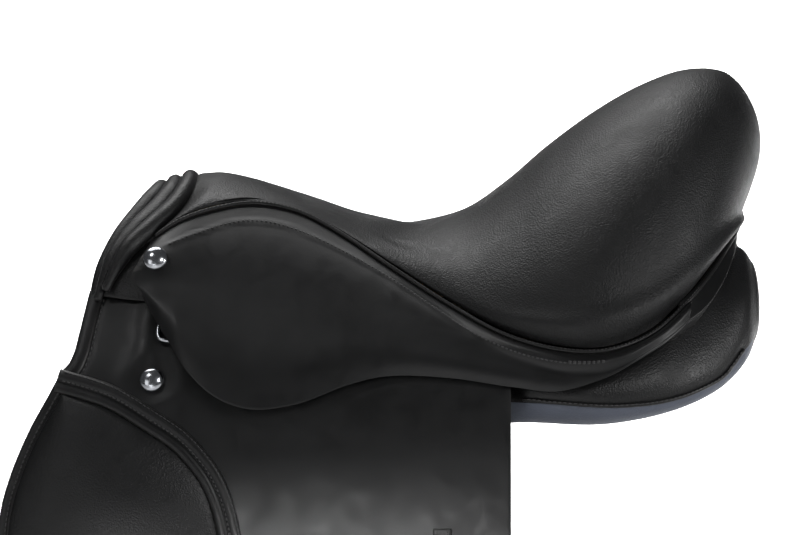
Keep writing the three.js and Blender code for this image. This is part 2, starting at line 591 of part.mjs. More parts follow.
function stirrupBar() {
  const [l, h] = [BAR.length / 2, BAR.height / 2];
  const bar = [
    [-l, -h], [l - 14, -h], [l - 8, -h + 3], [l, -h + 3], [l, h - 3], [l - 8, h - 3], [l - 14, h], [-l, h],
  ];
  const plate = [[-l, -h], [l - 6, -h], [l - 6, h], [-l, h]];
  const root = [[-l, -h], [-l + 10, -h], [-l + 10, h], [-l, h]];
  const toPlate = BAR_DEPTH.bar + BAR_DEPTH.slot;
  return joined(
    barPlate(bar, 0, BAR_DEPTH.bar, { x: BAR_PIVOT_X, z: 0, r: PIN_RADIUS + GAP }),
    barPlate(plate, toPlate, BAR_DEPTH.plate),
    barPlate(root, 0, toPlate + BAR_DEPTH.plate),
  ).applyMatrix4(barFrame);
}

// The safety catch on the open end of the bar, with its pivot pin.
function barCatch() {
  const x = BAR_PIVOT_X;
  const blade = [[x - 4, -3.5], [x + 14, -3], [x + 17, 0], [x + 14, 3], [x - 4, 3.5]];
  const pinLength = BAR_DEPTH.bar + 1.5;
  const pin = new THREE.CylinderGeometry(PIN_RADIUS, PIN_RADIUS, pinLength, 10);
  pin.translate(x, pinLength / 2 - 1, 0);
  return joined(barPlate(blade, -GAP - 1.8, 1.8), pin).applyMatrix4(barFrame);
}

// A domed saddle nail, standing on a surface frame.
function nail(frame) {
  const r = NAIL_RADIUS;
  const profile = [[0, 0], [r - 1, 0], [r, 1], [r - 1.4, 2.8], [r - 4, 4.4], [0, 5.4]];
  return new THREE.LatheGeometry(profile.map(([x, h]) => new THREE.Vector2(x, h)), 12).applyMatrix4(frame);
}

// The dee hangs on a clip under the front edge of the skirt, its bow pointing forwards and down.
const DEE = { x: -149, z: 20, wide: 26, deep: 20, wire: 1.6, aim: [-0.81, -0.58] };
const deeFrame = flapFrame(DEE.x, DEE.z, DEE.aim, 3.9);

function dee() {
  const [h, d] = [DEE.wide / 2, DEE.deep];
  const corners = [
    [0, -h + 2], [0, 0], [0, h - 2], [3, h], [d * 0.55, h * 0.8], [d, 0], [d * 0.55, -h * 0.8], [3, -h],
  ];
  const loop = new THREE.CatmullRomCurve3(corners.map(([x, z]) => v3(x, 0, z)), true);
  return sweep(loop, () => circle(DEE.wire, 5), 18, () => v3(0, 1, 0), true).applyMatrix4(deeFrame);
}

function deeClip() {
  const [inner, outer] = [DEE.wire + 0.8, DEE.wire + 1.9];
  const ring = new THREE.Shape().absarc(0, 0, outer, 0, 2 * Math.PI);
  ring.holes.push(new THREE.Path().absarc(0, 0, inner, 0, 2 * Math.PI));
  const corners = [[-outer + 0.2, -0.8], [-24, -0.8], [-24, 0.8], [-outer + 0.2, 0.8]];
  const tab = new THREE.Shape(corners.map(([a, b]) => new THREE.Vector2(a, b)));
  const plain = { depth: 14, bevelEnabled: false, curveSegments: 6 };
  const parts = [ring, tab].map((s) => new THREE.ExtrudeGeometry(s, plain).translate(0, 0, -7));
  return joined(...parts).applyMatrix4(deeFrame);
}

// The grained leather that covers the tree's head beside the arch, between the rolls and the skirt.
const HEAD_SIDE = [
  [[-173, 69, 67], [-166, 70, 67], [-156, 71, 67]],
  [[-185, 80, 50], [-174, 84, 50], [-156, 86, 50]],
  [[-195, 83.5, 34.5], [-178, 86, 34.5], [-156, 89, 34.5]],
];
function pommelSide() {
  const rails = HEAD_SIDE.map(spaceCurve);
  const section = (t) => new THREE.CatmullRomCurve3(rails.map((r) => r.getPoint(t)));
  const grid = spanOf(5).map((t) => spanOf(5).map((s) => section(t).getPoint(s)));
  return sheet(grid, grid.map((row) => row.map((p) => p.clone().add(v3(0, LEATHER, 0)))));
}

// ---------------------------------------------------------------- welts
const beside = (curve, out, down) => (t) => curve.getPoint(t).add(v3(0, -out, -down));
function welt(place, radius, steps) {
  const curve = new THREE.CatmullRomCurve3(spanOf(steps).map(place));
  return sweep(curve, () => circle(radius, 5), steps, () => v3(0.1, -0.3, 1));
}

const seatWelt = () => welt((t) => beside(seatEdge, 2.7, 2.5)(lerp(0.02, 0.985, t)), 1.5, 26);

// The seam between the side of the panel and its bearing face.
const PANEL_SEAM = [
  [78, 158.5, -28], [110, 160, -30], [145, 157.5, -32.5], [176, 150.5, -31], [200, 138.5, -27], [219, 125, -21],
  [233, 108.5, -5],
];
const panelWelt = () => welt((t) => spaceCurve(PANEL_SEAM).getPoint(t), 1.4, 14);

// ---------------------------------------------------------------- materials and assembly
const finish = (color, roughness, metalness = 0) =>
  new THREE.MeshStandardMaterial({ color, roughness, metalness });
const smooth = finish(0x1b1b1c, 0.42);
const grained = finish(0x19191a, 0.5);
const steel = finish(0xc9ccd0, 0.2, 1);
const foam = finish(0xb7a98a, 0.9);
const wood = finish(0x9c7a4d, 0.7);
const webbing = finish(0xd8cfb8, 0.9);
const lining = finish(0x202022, 0.8);

const saddle = new THREE.Group();
function add(parent, name, geometry, material) {
  const mesh = new THREE.Mesh(geometry, material);
  mesh.name = name;
  parent.add(mesh);
}

add(saddle, "seat_cover", seatCover(), grained);
add(saddle, "seat_foam", seatFoam(), foam);
add(saddle, "web_lengthwise", webLengthwise(), webbing);
add(saddle, "web_crosswise", webCrosswise(), webbing);
add(saddle, "tree", tree(), wood);
add(saddle, "head_plate", headPlate(), steel);
for (const [name, roll] of Object.entries(ROLLS)) add(saddle, name, pommelRoll(roll), grained);
add(saddle, "pommel_facing", pommelFacing(), smooth);
add(saddle, "cantle_facing", cantleFacing(), smooth);
add(saddle, "channel_lining", channelLining(), lining);

for (const [side, flip] of [["left", 1], ["right", -1]]) {
  const half = new THREE.Group();
  half.scale.y = flip;
  const put = (name, geometry, material) => add(half, `${name}_${side}`, geometry, material);
  put("pommel_side", pommelSide(), grained);
  put("seat_welt", seatWelt(), smooth);
  put("skirt_top", skirtTop(), smooth);
  put("skirt", skirt(), smooth);
  put("skirt_nail", nail(skirtNailFrame), steel);
  put("flap_top", flapTop(), smooth);
  put("flap", flap(), smooth);
  put("flap_nail", nail(flapFrame(-165, -15, [1, 0], GAP)), steel);
  put("knee_pad", kneePad(), grained);
  put("knee_welt", kneeWeltBand(), smooth);
  put("keeper", keeper(), smooth);
  put("sweat_flap", sweatFlap(), smooth);
  put("panel", panel(), grained);
  put("panel_welt", panelWelt(), smooth);
  put("stirrup_bar", stirrupBar(), steel);
  put("bar_catch", barCatch(), steel);
  put("dee", dee(), steel);
  put("dee_clip", deeClip(), steel);
  put("billet_web", billetWeb(), webbing);
  BILLET.xs.forEach((x, k) => put(`billet_${["front", "middle", "rear"][k]}`, billet(x), smooth));
  put("girth_guard", girthGuard(), smooth);
  saddle.add(half);
}

export default saddle;
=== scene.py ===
"""An English saddle in black leather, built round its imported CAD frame.

Shapes are in millimetres, with the left side at -Y. Pieces are made on the left and mirrored.
"""
import math

import bmesh
import bpy
import numpy as np
from mathutils import Matrix, Vector
from mathutils.bvhtree import BVHTree
from mathutils.kdtree import KDTree


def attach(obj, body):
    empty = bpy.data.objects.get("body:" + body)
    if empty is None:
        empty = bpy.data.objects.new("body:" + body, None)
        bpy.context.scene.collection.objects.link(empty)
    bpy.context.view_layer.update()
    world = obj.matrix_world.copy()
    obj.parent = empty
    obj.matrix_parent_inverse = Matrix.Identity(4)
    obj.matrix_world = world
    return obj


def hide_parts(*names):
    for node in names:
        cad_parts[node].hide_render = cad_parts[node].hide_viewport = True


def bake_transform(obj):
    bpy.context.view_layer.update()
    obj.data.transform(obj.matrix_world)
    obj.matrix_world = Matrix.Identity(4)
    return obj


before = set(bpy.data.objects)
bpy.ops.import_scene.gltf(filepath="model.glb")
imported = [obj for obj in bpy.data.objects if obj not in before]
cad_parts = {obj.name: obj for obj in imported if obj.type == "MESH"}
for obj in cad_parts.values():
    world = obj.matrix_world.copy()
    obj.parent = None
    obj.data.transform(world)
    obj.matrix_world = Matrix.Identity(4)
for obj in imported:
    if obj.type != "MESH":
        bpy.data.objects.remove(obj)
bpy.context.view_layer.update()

MM = 0.001
LEATHER = 2.4
FLAP = 3.2
FLAP_REAR_X = 73
FLAP_BOTTOM_Z = -316
GIRTH_SPACE = 17
FOLD_SLOPE, FOLD_AT_ORIGIN_Z = -0.18, -55
SKIRT_FOLD = np.array([[-176, 94, 46], [124, 171, -9]], float)
LEFT = np.array([1, -1, 1.0])
SIDES = (("left", 1), ("right", -1))

# Outlines: [x, half width, z] for a space curve and [x, z] for a flat one. Most repeat the CAD's. The seat's
# centre, the panels, the skirt's tail and the head follow the photograph more closely than the CAD does.
SEAT_CENTRE = [
    [-139, 0, 111.5], [-124, 0, 112], [-104, 0, 107.5], [-80, 0, 99.5], [-55, 0, 89.5], [-20, 0, 79],
    [15, 0, 76], [48, 0, 85.5], [75, 0, 104.5], [104, 0, 130], [139, 0, 156], [172, 0, 174.5],
    [202, 0, 184], [228, 0, 181], [246, 0, 158], [251, 0, 128], [239, 0, 85.5],
]
SEAT_FRONT = [[-139, 0, 111.5], [-140, 24, 106.5], [-145.5, 43, 95.5], [-157, 58, 83], [-173, 71.5, 71]]
SEAT_EDGE = [
    [-173, 71.5, 71], [-150, 66, 86], [-124, 59, 94], [-99, 56, 97], [-70, 61, 92], [-42, 74, 79],
    [-7, 97, 58], [33, 120, 34.5], [70, 144, 17], [105, 158, 9], [135, 160, 8.5], [165, 151, 18],
    [190, 134, 37], [208, 110, 54], [221, 82, 68], [231, 50, 78], [237.5, 7, 83],
]
SKIRT_LOW = [
    [-175.5, 43.5], [-173, 35], [-164, 20.8], [-154, 6.5], [-142.5, -10], [-125.4, -25], [-108, -32.3],
    [-93, -34], [-66, -29.5], [-36, -18.2], [-10, -12], [33, -12.2], [73, -16.8], [105, -19],
    [124, -14.5],
]
SKIRT_TAIL = [
    [124, 171, -14.5], [134.5, 171, -10.3], [146, 170, -4.5], [157, 168, 1.8], [174, 161, 11.5],
    [186, 152, 20], [192, 146, 25],
]
FLAP_FRONT = [
    [-227, -14.1], [-236, -31], [-246, -49], [-257, -73.5], [-265.5, -101], [-269, -135], [-266, -180],
    [-252, -226], [-224, -268], [-192, -294],
]
FLAP_BOTTOM = [[-192, -294], [-150, -310], [-90, FLAP_BOTTOM_Z], [-20, FLAP_BOTTOM_Z], [40, -312]]
FLAP_REAR = [[FLAP_REAR_X, -68], [FLAP_REAR_X, -140], [FLAP_REAR_X, -220], [FLAP_REAR_X, -284], [64, -304],
             [40, -312]]
NECK_FRONT = [[-210, 37], [-212.8, 24], [-216.3, 8], [-218.3, -0.5], [-221.8, -8.6], [-227, -14.14]]
NECK_TOP = [[-210, 37], [-190, 34.5], [-174.8, 32], [-148, 28], [-139, 12], [-130, 0], [-60, -4],
            [FLAP_REAR_X, -12]]
SWEAT_FRONT = [[-200, -12], [-222, -50], [-240, -98], [-246, -140], [-240, -190], [-222, -236],
               [-190, -272]]
SWEAT_TOP = [[-200, -12], [-128, -8], [-60, -10], [60, -14]]
SWEAT_BOTTOM = [[-190, -272], [-120, -294], [-40, -300], [60, -296]]
KNEE_WELT = [
    [-229, -15.6], [-205.7, -21.5], [-190.6, -26.6], [-167.6, -39.3], [-145.2, -53.4], [-132.7, -65.6],
    [-123, -78.4], [-115.3, -95.2], [-111.3, -110], [-107.5, -130], [-107, -150], [-112, -190],
    [-127, -228], [-152, -260], [-184, -284],
]
ROLLS = {
    "pommel_roll_front": (
        [4.8, 4.8, 2.8],
        [[-167, 0, 101.5], [-170, 20, 98.5], [-179, 37, 89], [-191, 53, 74], [-200, 65, 57], [-206, 75, 40],
         [-208.5, 82, 26]],
    ),
    "pommel_roll_middle": (
        [4.8, 4.9, 2.6],
        [[-157, 0, 104.6], [-159, 22, 100.5], [-167, 40, 91], [-181.5, 58, 77.5], [-193, 71, 62.5],
         [-200, 80, 47], [-204.5, 86.5, 33]],
    ),
    "pommel_roll_rear": (
        [4.8, 5.6, 2.8],
        [[-146.6, 0, 107.4], [-147.5, 26, 103], [-154.5, 46, 92.5], [-168.8, 63.4, 80.2],
         [-183.4, 76.9, 67.2], [-192.5, 84, 53], [-199, 89, 40]],
    ),
}
ARCH_OUTER = [[-167, 0, 95], [-169, 20, 92], [-176, 36, 83], [-186, 51, 67], [-195, 61, 50], [-200, 68, 36]]
ARCH_INNER = [[-159, 0, 74], [-161, 16, 71], [-166, 28, 62], [-173, 38, 50], [-180, 47, 39], [-186, 54, 31]]
FACING_TOP = [[186, 138, 36], [198, 123, 46], [211, 101, 59], [223, 75, 72], [231, 48, 81], [235, 0, 86]]
FACING_LOW = [[186, 147, 21], [203, 134, 32], [215, 116, 45], [225, 90, 60], [231, 55, 70], [234, 0, 73]]
PANEL = [
    [-203, [62, 20], [66, 16], [82, -6], [102, -54], [97, -62], [87, -54], [72, -10], [62, 12]],
    [-190, [54, 24], [60, 20], [82, -2], [108, -60], [100, -71], [86, -58], [62, -6], [50, 20]],
    [-172, [40, 44], [52, 38], [86, -3], [111, -62], [103, -74], [87, -61], [58, -14], [36, 34]],
    [-150, [34, 50], [62, 38], [89, -6], [113, -62], [105, -75], [88, -62], [58, -22], [34, 30]],
    [-95, [34, 36], [76, 26], [97, -12], [119, -56], [109, -70], [92, -54], [56, -22], [34, 16]],
    [-35, [34, 26], [88, 16], [105, -12], [121, -44], [112, -57], [92, -42], [56, -18], [34, 2]],
    [30, [34, 24], [102, 6], [116, -14], [127, -34], [115, -49], [92, -36], [56, -14], [34, 0]],
    [62, [34, 25], [108, 6], [124, -14], [134, -31], [120, -48], [93, -34], [56, -12], [34, 1]],
    [85, [34, 28], [122, 8], [150, -16], [152, -29], [128, -46], [94, -33], [56, -12], [34, 2]],
    [135, [34, 38], [112, 22], [155, -16], [156, -32], [130, -47], [96, -32], [56, -10], [34, 6]],
    [180, [34, 50], [98, 42], [144, -5], [146, -30], [124, -39], [94, -26], [56, -6], [34, 10]],
    [214, [34, 60], [84, 53], [118, 15], [125, -17], [111, -26], [88, -16], [58, 4], [36, 18]],
    [234, [36, 62], [68, 57], [98, 32], [104, 1], [94, -9], [78, -2], [58, 14], [38, 30]],
    [242, [46, 53], [64, 49], [84, 31], [88, 13], [82, 6], [72, 10], [60, 21], [48, 35]],
]
CHANNEL = [[-163, 51], [-150, 44], [-95, 31], [-35, 21], [30, 19], [85, 23], [135, 32], [180, 46],
           [214, 56]]
HEAD_SIDE = [
    [[-179, 67, 68], [-168, 70, 68], [-156, 71, 67]],
    [[-192, 78, 51], [-178, 84.5, 50], [-156, 86, 50]],
    [[-203, 82, 36.5], [-182, 87, 34.5], [-156, 89, 33]],
]
PANEL_SEAM = [
    [78, 158.5, -28], [110, 160, -30], [145, 157.5, -32], [176, 150.5, -29.5], [200, 138.5, -24],
    [219, 125, -16.5], [233, 108.5, 0],
]
WEB_LINE = [[32, 26], [16, 17], [0, 10], [-18, 5.2], [-40, 4.2], [-62, 4.2]]
BILLET = {"width": 25, "thick": 3.5, "xs": [-46, -6, 34], "top": -39, "bottom": -286}
BILLET_PLANE = {"x": -6, "z": -100, "half_width": 154.5, "rearwards": 0.15, "downwards": 0.118}
GUARD = {"top": -84, "bottom": -132, "front": -64, "rear": 52, "wall": 1.8, "room": 1.1}
KEEPER = {"x": 28, "z": -133, "long": 46, "wide": 12, "thick": 2, "room": 7.5, "foot": 9}
DEE = {"x": -145.6, "z": 18, "wide": 26, "deep": 20, "wire": 1.4, "aim": [-0.81, -0.58], "lift": 3.9}
NAIL_RADIUS = 8.4
STANDOFF = 0.9
KNEE_RISE = 14
FOAM_CENTRE, FOAM_EDGE, WEB, LAYER_GAP = 15, 6, 1.4, 1.3
FOLD_FRONT_X = -227
FLAP_NAIL = (-166.0, -18.3)
NAIL_SPOT = np.array([-165, -92.5, 60.5])
SKIRT_STITCHES = [
    [-157, 82, 68], [-135.5, 80, 80], [-115, 75, 87], [-95, 75, 89], [-74.5, 80, 86], [-47, 90, 74.5],
    [-13, 105, 53], [20, 125, 32], [53, 148, 14], [85.5, 162, 3.5], [118, 168, -0.4], [143, 168, 1],
]
# Shares of a line: the skirt's tail, and the part of the seat that its front edge draws.
TAIL_SHARE, FRONT_REACH = 0.215, 0.14
DENSE = np.linspace(0, 1, 800)
SHARP_ANGLE = 0.9
SMOOTHING_PASSES = 60


# ---------------------------------------------------------------- curves and grids
def lerp(a, b, t):
    return a + (b - a) * t


def smooth(t, lo=0.0, hi=1.0):
    t = np.clip((np.asarray(t, float) - lo) / (hi - lo), 0, 1)
    return t * t * (3 - 2 * t)


def unit(v):
    v = np.asarray(v, float)
    return v / np.maximum(np.linalg.norm(v, axis=-1, keepdims=True), 1e-9)


class Curve:
    """A centripetal Catmull-Rom curve, as in the CAD. at() takes its own parameter, even() a share of its
    length."""

    def __init__(self, points, closed=False):
        p = np.asarray(points, float)
        if closed:
            p = np.vstack([p[-1], p, p[0], p[1]])
        else:
            p = np.vstack([2 * p[0] - p[1], p, 2 * p[-1] - p[-2]])
        d = np.linalg.norm(np.diff(p, axis=0), axis=1)[:, None] ** 0.5
        d = np.where(d < 1e-2, 1.0, d)
        p0, p1, p2, p3 = p[:-3], p[1:-2], p[2:-1], p[3:]
        d0, d1, d2 = d[:-2], d[1:-1], d[2:]
        a = ((p1 - p0) / d0 - (p2 - p0) / (d0 + d1) + (p2 - p1) / d1) * d1
        b = ((p2 - p1) / d1 - (p3 - p1) / (d1 + d2) + (p3 - p2) / d2) * d1
        self.c = [p1, a, -3 * p1 + 3 * p2 - 2 * a - b, 2 * p1 - 2 * p2 + a + b]
        ts = np.linspace(0, 1, 601)
        reach = np.cumsum(np.linalg.norm(np.diff(self.at(ts), axis=0), axis=1))
        self.length = reach[-1]
        self.share = (np.concatenate([[0], reach / reach[-1]]), ts)

    def at(self, t):
        n = len(self.c[0])
        s = np.clip(np.asarray(t, float), 0, 1) * n
        i = np.minimum(s.astype(int), n - 1)
        w = (s - i)[..., None]
        c = [k[i] for k in self.c]
        return c[0] + w * (c[1] + w * (c[2] + w * c[3]))

    def even(self, t):
        return self.at(np.interp(t, *self.share))

    def tangent(self, t):
        before, after = (np.clip(np.asarray(t) + step, 0, 1) for step in (-1e-3, 1e-3))
        return unit(self.even(after) - self.even(before))


def space_curve(points):
    return Curve(np.asarray(points, float) * LEFT)


def mirrored_line(points):
    """The whole line across the saddle, from the right end to the left, for a list that starts on the
    centre."""
    p = np.asarray(points, float)
    return np.vstack([p[:0:-1], p * LEFT])


def normals(grid, wrap=False):
    if wrap:
        across = np.roll(grid, -1, axis=1) - np.roll(grid, 1, axis=1)
    else:
        across = np.gradient(grid, axis=1)
    return unit(np.cross(np.gradient(grid, axis=0), across))


def moved(grid, distance, wrap=False):
    """A grid moved along its normals, outwards for a positive distance."""
    return grid + normals(grid, wrap) * np.asarray(distance, float)[..., None]


def cells(n, m, wrap=False):
    i, j = np.meshgrid(np.arange(n - 1), np.arange(m if wrap else m - 1), indexing="ij")
    k = (j + 1) % m
    return np.stack([i * m + j, (i + 1) * m + j, (i + 1) * m + k, i * m + k], axis=-1).reshape(-1, 4)


def near_line(points, line):
    """Each point's distance to a line of closely spaced points."""
    tree = KDTree(len(line))
    for k, p in enumerate(line):
        tree.insert(p, k)
    tree.balance()
    flat = points.reshape(-1, 3)
    return np.array([tree.find(p)[2] for p in flat]).reshape(points.shape[:-1])


def pressed(grid, line, width, depth):
    """A grid with a groove along a line, as a seam pulls leather in."""
    return moved(grid, -depth * np.exp(-((near_line(grid, line) / width) ** 2)))


def nearest_on(grid, line):
    """The points of a surface nearest to those of a line."""
    quads = [tuple(f) for f in cells(*grid.shape[:2]).tolist()]
    tree = BVHTree.FromPolygons([tuple(p) for p in grid.reshape(-1, 3)], quads)
    return np.array([tree.find_nearest(Vector(p))[0] for p in line])


# ---------------------------------------------------------------- shapes
class Shape:
    """Points in millimetres, faces, and the number of each face's material."""

    def __init__(self, points, faces, look=0):
        self.points = np.asarray(points, float).reshape(-1, 3)
        self.faces = [tuple(int(i) for i in f) for f in faces]
        self.looks = [look] * len(self.faces)

    def add(self, *others):
        for o in others:
            n = len(self.points)
            self.points = np.vstack([self.points, o.points])
            self.faces += [tuple(i + n for i in f) for f in o.faces]
            self.looks += o.looks
        return self

    def flipped(self):
        s = Shape(self.points * LEFT, [f[::-1] for f in self.faces])
        s.looks = list(self.looks)
        return s

    def placed(self, m):
        self.points = self.points @ np.array(m.to_3x3()).T + np.array(m.translation)
        return self


def plate(outer, thick, edge=0, bevel=0.7):
    """Leather below a grid of points, with closed and rounded edges."""
    n, m = outer.shape[:2]
    inner = moved(outer, -np.full((n, m), float(thick))) if np.isscalar(thick) else thick
    quads = cells(n, m)
    starts = quads.reshape(-1)
    ends = np.roll(quads, -1, axis=1).reshape(-1)
    size = n * m
    lone = ~np.isin(starts * size + ends, ends * size + starts)
    sides = np.stack([ends[lone], starts[lone], starts[lone] + size, ends[lone] + size], axis=-1)
    s = Shape(np.vstack([outer.reshape(-1, 3), inner.reshape(-1, 3)]), quads)
    s.faces += [tuple(f) for f in quads[:, ::-1] + size] + [tuple(f) for f in sides]
    s.looks += [0] * len(quads) + [edge] * len(sides)
    return rounded(s, bevel) if bevel else s


def mesh_of(shape, name="scratch"):
    mesh = bpy.data.meshes.new(name)
    mesh.from_pydata(shape.points * MM, [], shape.faces)
    mesh.polygons.foreach_set("material_index", shape.looks)
    bm = bmesh.new()
    bm.from_mesh(mesh)
    bmesh.ops.remove_doubles(bm, verts=bm.verts, dist=1e-6)
    bmesh.ops.delete(bm, geom=[v for v in bm.verts if not v.link_faces], context="VERTS")
    bmesh.ops.recalc_face_normals(bm, faces=bm.faces)
    return mesh, bm


def rounded(shape, width):
    """The shape with its sharp edges rounded off."""
    mesh, bm = mesh_of(shape)
    sharp = [e for e in bm.edges if len(e.link_faces) == 2 and e.calc_face_angle(0) > SHARP_ANGLE]
    bmesh.ops.bevel(bm, geom=sharp, offset=width * MM, segments=2, profile=0.5, affect="EDGES",
                    clamp_overlap=True)
    bm.verts.index_update()
    s = Shape([v.co / MM for v in bm.verts], [[v.index for v in f.verts] for f in bm.faces])
    s.looks = [f.material_index for f in bm.faces]
    bm.free()
    bpy.data.meshes.remove(mesh)
    return s


def loft(rings, endless=False, domed=0.0):
    """A solid through closed rings of points. domed rounds its two ends off, by that many millimetres."""
    rings = [np.asarray(r, float) for r in rings]
    if domed:
        for end, beyond in ((0, 1), (-1, -2)):
            ring = rings[end]
            middle = ring.mean(axis=0)
            out = unit(middle - rings[beyond].mean(axis=0))
            caps = [middle + (ring - middle) * math.cos(a) + out * domed * math.sin(a)
                    for a in (0.5, 0.95, 1.25, 1.45)]
            rings = caps[::-1] + rings if end == 0 else rings + caps
    n = len(rings[0])
    points = np.vstack(rings)
    faces = [tuple(f) for f in cells(len(rings), n, wrap=True)]
    if endless:
        last = (len(rings) - 1) * n
        faces += [(last + j, j, (j + 1) % n, last + (j + 1) % n) for j in range(n)]
    else:
        faces += [tuple(range(n)), tuple(range(len(points) - 1, len(points) - n - 1, -1))]
    return Shape(points, faces)


def sweep(curve, section, steps, lean, endless=False, domed=0.0):
    """A section of [across, up] points carried along a curve."""
    rings = []
    for t in np.linspace(0, 1, steps + 1)[: steps if endless else None]:
        along = curve.tangent(t)
        across = unit(np.cross(along, lean))
        up = unit(np.cross(across, along))
        rings.append([curve.even(t) + across * a + up * u for a, u in section(t)])
    return loft(rings, endless, domed)


def circle(radius, sides=16):
    turns = np.linspace(0, 2 * math.pi, sides, endpoint=False)
    return [[radius * math.cos(a), radius * math.sin(a)] for a in turns]


# Along a stitch: place, thickness and how deep it is pulled in.
RINGS = np.array([[-1, 0.3, -0.9], [-0.8, 0.78, -0.35], [-0.35, 1, 0], [0.35, 1, 0], [0.8, 0.78, -0.35],
                  [1, 0.3, -0.9]])
SPOKES = np.array(circle(1, 6))
STITCH_FACES = cells(len(RINGS), len(SPOKES), wrap=True)


def stitches(ground, line, out=(0, -1, 0.3), pitch=3.3, long=2.5, thick=0.5, sunk=0.1, look=1):
    """Thread along a line on a surface: a small capsule for each stitch, its ends pulled into the
    leather."""
    tree = BVHTree.FromPolygons([tuple(p) for p in ground.points], ground.faces)
    line = np.asarray(line, float)
    reach = np.concatenate([[0], np.cumsum(np.linalg.norm(np.diff(line, axis=0), axis=1))])
    count = max(1, int(reach[-1] / pitch))
    spots = (np.arange(count) + 0.5) * reach[-1] / count

    def at(s):
        return np.stack([np.interp(s, reach, line[:, k]) for k in range(3)], axis=-1)

    points, faces = [], []
    for s in spots:
        hit, normal = tree.find_nearest(Vector(at(s)))[:2]
        up = np.array(normal) * (1 if np.dot(normal, out) > 0 else -1)
        along = unit(at(s + 0.5) - at(s - 0.5))
        along = unit(along - up * np.dot(along, up))
        across = np.cross(up, along)
        base = len(points)
        for step, size, dip in RINGS:
            middle = np.array(hit) + along * step * long / 2 + up * thick * (dip + 0.35 - sunk)
            points += [middle + across * thick * size * a + up * thick * size * u for a, u in SPOKES]
        faces += [tuple(base + f) for f in STITCH_FACES]
        faces += [tuple(range(base, base + 6)), tuple(range(base + 35, base + 29, -1))]
    return Shape(points, faces, look)


def puffed(grid, free, pressure=4.0, wrap=False, frames=20):
    """A padded surface blown up by cloth simulation. free is how far each point may move, in
    millimetres."""
    n, m = grid.shape[:2]
    mesh = bpy.data.meshes.new("pad")
    mesh.from_pydata(grid.reshape(-1, 3) * MM, [], [tuple(f) for f in cells(n, m, wrap).tolist()])
    pad = bpy.data.objects.new("pad", mesh)
    bpy.context.scene.collection.objects.link(pad)
    held = pad.vertex_groups.new(name="held")
    reach = np.asarray(free, float).reshape(-1)
    full = reach.max()
    for k, r in enumerate(reach):
        held.add([k], float(1 - min(1, r / full)) ** 2, "REPLACE")
    cloth = pad.modifiers.new("cloth", "CLOTH")
    c = cloth.settings
    c.quality = 4
    c.mass = 0.4
    c.tension_stiffness = c.compression_stiffness = 12
    c.shear_stiffness = 6
    c.bending_stiffness = 4
    c.use_pressure = True
    c.uniform_pressure_force = pressure
    c.effector_weights.gravity = 0
    c.vertex_group_mass = "held"
    cloth.collision_settings.use_collision = False
    cloth.point_cache.frame_start, cloth.point_cache.frame_end = 1, frames
    for f in range(1, frames + 1):
        bpy.context.scene.frame_set(f)
    done = pad.evaluated_get(bpy.context.evaluated_depsgraph_get()).to_mesh()
    co = np.empty(len(mesh.vertices) * 3)
    done.vertices.foreach_get("co", co)
    bpy.data.objects.remove(pad)
    bpy.data.meshes.remove(mesh)
    bpy.context.scene.frame_set(1)
    move = co.reshape(-1, 3) / MM - grid.reshape(-1, 3)
    far = np.linalg.norm(move, axis=1)
    scale = np.tanh(far / np.maximum(reach, 1e-3)) * reach / np.maximum(far, 1e-6)
    return grid + (move * scale[:, None]).reshape(grid.shape)


# ---------------------------------------------------------------- materials
def material(name):
    mat = bpy.data.materials.new(name)
    mat.use_nodes = True
    tree = mat.node_tree
    shader = tree.nodes["Principled BSDF"]
    coords = tree.nodes.new("ShaderNodeTexCoord").outputs["Object"]

    def node(kind, inputs=None, **settings):
        made = tree.nodes.new("ShaderNode" + kind)
        for key, value in settings.items():
            setattr(made, key, value)
        for key, value in (inputs or {}).items():
            if isinstance(value, bpy.types.NodeSocket):
                tree.links.new(value, made.inputs[key])
            else:
                made.inputs[key].default_value = value
        return made

    return mat, tree, shader, coords, node


def ramp(node, source, stops):
    made = node("ValToRGB", {"Fac": source})
    for k, (at, colour) in enumerate(stops):
        e = made.color_ramp.elements[k] if k < 2 else made.color_ramp.elements.new(at)
        e.position = at
        e.color = (*colour, 1) if len(colour) == 3 else colour
    return made.outputs["Color"]


